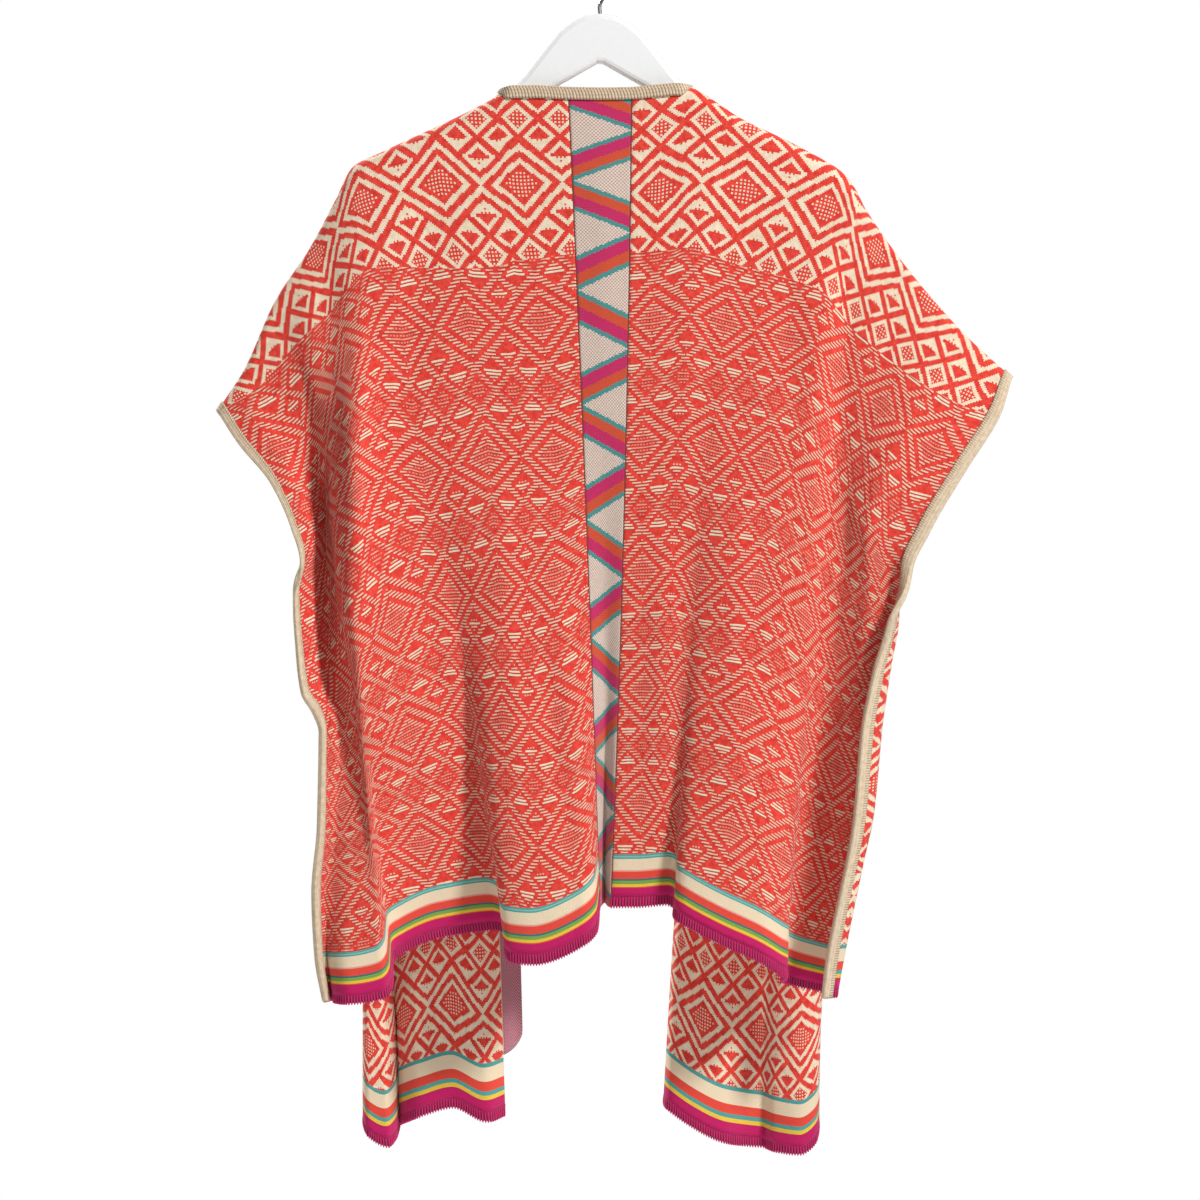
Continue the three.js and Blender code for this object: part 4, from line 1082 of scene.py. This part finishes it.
def side_binding(name, cloth, edge_wale):
    shares = down_shares(cloth, 4.0)
    inward = -np.sign(edge_wale)
    stops = edge_wale + inward * np.linspace(0, BINDING_WALES, 6)
    order = np.argsort(stops)
    centres, out = hung_grid(cloth, stops[order], shares)
    centres, out = centres[:, np.argsort(order)], out[:, np.argsort(order)]
    away = centres[:, 0] - centres[:, 1]
    away /= np.linalg.norm(away, axis=-1, keepdims=True)
    return folded_strip(name, centres, out, away, 2.25, 0.72)


def neck_edge(name):
    depths = np.array([0, 1.8, 3.4, 5, 7.5, 10]) / BACK["length"]
    wales = np.concatenate([spread(-53, -40, 0.8), spread(-39, 35, 1.6), spread(36, 48, 0.8)])
    left = wales < 0
    grids = [hung_grid(BACK, wales[chosen], depths) for chosen in (left, ~left)]
    centres = np.concatenate([grid[0] for grid in grids], axis=1).transpose(1, 0, 2)
    out = np.concatenate([grid[1] for grid in grids], axis=1).transpose(1, 0, 2)
    taper = np.minimum(ease(-54, -48, wales), 1 - ease(43, 49, wales))[:, None, None]
    centres = centres[:, :1] + (centres - centres[:, :1]) * (0.25 + 0.75 * taper)
    away = np.tile(np.array([0.0, 0.0, 1.0]), (len(wales), 1))
    return folded_strip(name, centres, out, away, 2.9, -1)


# Each binding, the node it replaces and the length of its strip
bindings = (
    (side_binding("binding_back_left", BACK, -LEFT_EDGE_WALE), "side_binding_back_left", 0.56),
    (side_binding("binding_back_right", BACK, RIGHT_EDGE_WALE), "side_binding_back_right", 0.56),
    (side_binding("binding_front_left", FRONT_LEFT, -LEFT_EDGE_WALE), "side_binding_front_left", 0.66),
    (side_binding("binding_front_right", FRONT_RIGHT, RIGHT_EDGE_WALE), "side_binding_front_right", 0.72),
    (neck_edge("binding_neck"), "neck_binding", 0.165),
)
binding_wool, tree, shader = new_material("ribbed_cream_wool")
along = add(tree, "Attribute", out=2, attribute_name="along")
across = add(tree, "Attribute", out=2, attribute_name="across")
stitched = add(tree, "Attribute", out=2, attribute_name="stitched")
where = add(tree, "TexCoord", out=3)
mottle = add(tree, "TexNoise", {"Vector": where, "Scale": 300.0, "Detail": 3.0})
cream = add(tree, "ValToRGB", {"Fac": mottle})
cream.node.color_ramp.elements[0].position = 0.3
cream.node.color_ramp.elements[0].color = linear("#C6AF92")
cream.node.color_ramp.elements[1].position = 0.7
cream.node.color_ramp.elements[1].color = linear("#DCC8AC")
# Fine lengthwise ribs, with the overlock thread's bars across them. The gaps between the bars and the hollows
# between the ribs are darkened with painted shade
ridge = add(tree, "Math", (across, 0.1), operation="PINGPONG")
bar = add(tree, "Math", (along, 0.5), operation="PINGPONG")
bar_height = add(tree, "Math", (bar, stitched), operation="MULTIPLY")
height = add(tree, "Math", (ridge, 4.0, bar_height), operation="MULTIPLY_ADD")
shaded_gap = add(tree, "Math", (bar, 0.17), operation="LESS_THAN")
shaded_gap = add(tree, "Math", (shaded_gap, stitched), operation="MULTIPLY")
shaded_gap = add(tree, "Math", (shaded_gap, 0.75), operation="MULTIPLY")
painted_gap_shade = linear("#7A5A44")
cream = add(tree, "Mix", {0: shaded_gap, 6: cream, 7: painted_gap_shade}, out=2, data_type="RGBA")
painted_shade = add(tree, "MapRange", (ridge, 0.0, 0.1, 0.86, 1.0))
shaded = {0: 1.0, 6: cream, 7: painted_shade}
cream = add(tree, "Mix", shaded, out=2, data_type="RGBA", blend_type="MULTIPLY")
tree.links.new(cream, shader.inputs["Base Color"])
bump = add(tree, "Bump", {"Height": height, "Strength": 0.6, "Distance": 0.0008})
tree.links.new(bump, shader.inputs["Normal"])
shader.inputs["Roughness"].default_value = 0.95
shader.inputs["Sheen Weight"].default_value = 0.08
for piece, node, length in bindings:
    piece.data.materials.append(binding_wool)
    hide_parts(node)
    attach(piece, "root")

# Studio: a plain pale floor and backdrop, a strong light from the right and above with a weak fill, the
# same on the far side, and the camera at the height of the garment's middle, square on to its back.
bpy.ops.object.select_all(action="DESELECT")
bpy.ops.mesh.primitive_plane_add(size=4, location=(0, 0, -1.6))
floor = bpy.context.object
floor.name = "studio_floor"
card, tree, shader = new_material("matt_white_card")
shader.inputs["Base Color"].default_value = linear("#F4F4F4")
shader.inputs["Roughness"].default_value = 0.9
floor.data.materials.append(card)

# The backdrop is lit to pure white, and sends only part of that light back on to the garment
studio = bpy.data.worlds.new("studio")
studio.use_nodes = True
seen = add(studio.node_tree, "LightPath")
light = add(studio.node_tree, "MapRange", (seen, 0.0, 1.0, 0.1, 1.0))
studio.node_tree.links.new(light, studio.node_tree.nodes["Background"].inputs["Strength"])
studio.node_tree.nodes["Background"].inputs["Color"].default_value = (1, 1, 1, 1)
bpy.context.scene.world = studio
MIDDLE_HEIGHT = -0.585
# Name, place, width and power of each light
for name, place, width, power in (
    ("key", (2.4, -2.1, 2.0), 0.6, 200),
    ("fill", (-0.7, -3.1, -0.4), 1.2, 14),
    ("back_key", (-2.4, 2.1, 2.0), 0.6, 200),
    ("back_fill", (0.7, 3.1, -0.4), 1.2, 14),
):
    lamp = bpy.data.lights.new(name, "AREA")
    lamp.size = width
    lamp.energy = power
    holder = bpy.data.objects.new(name, lamp)
    bpy.context.scene.collection.objects.link(holder)
    holder.location = place
    aim = Vector((0, 0, MIDDLE_HEIGHT)) - Vector(place)
    holder.rotation_euler = aim.to_track_quat("-Z", "Y").to_euler()

lens = bpy.data.cameras.new("camera")
lens.lens = 110
camera = bpy.data.objects.new("camera", lens)
bpy.context.scene.collection.objects.link(camera)
camera.location = (0, -3.33, MIDDLE_HEIGHT)
camera.rotation_euler = (math.radians(90), 0, 0)
bpy.context.scene.camera = camera
bpy.context.scene.view_settings.view_transform = "Standard"
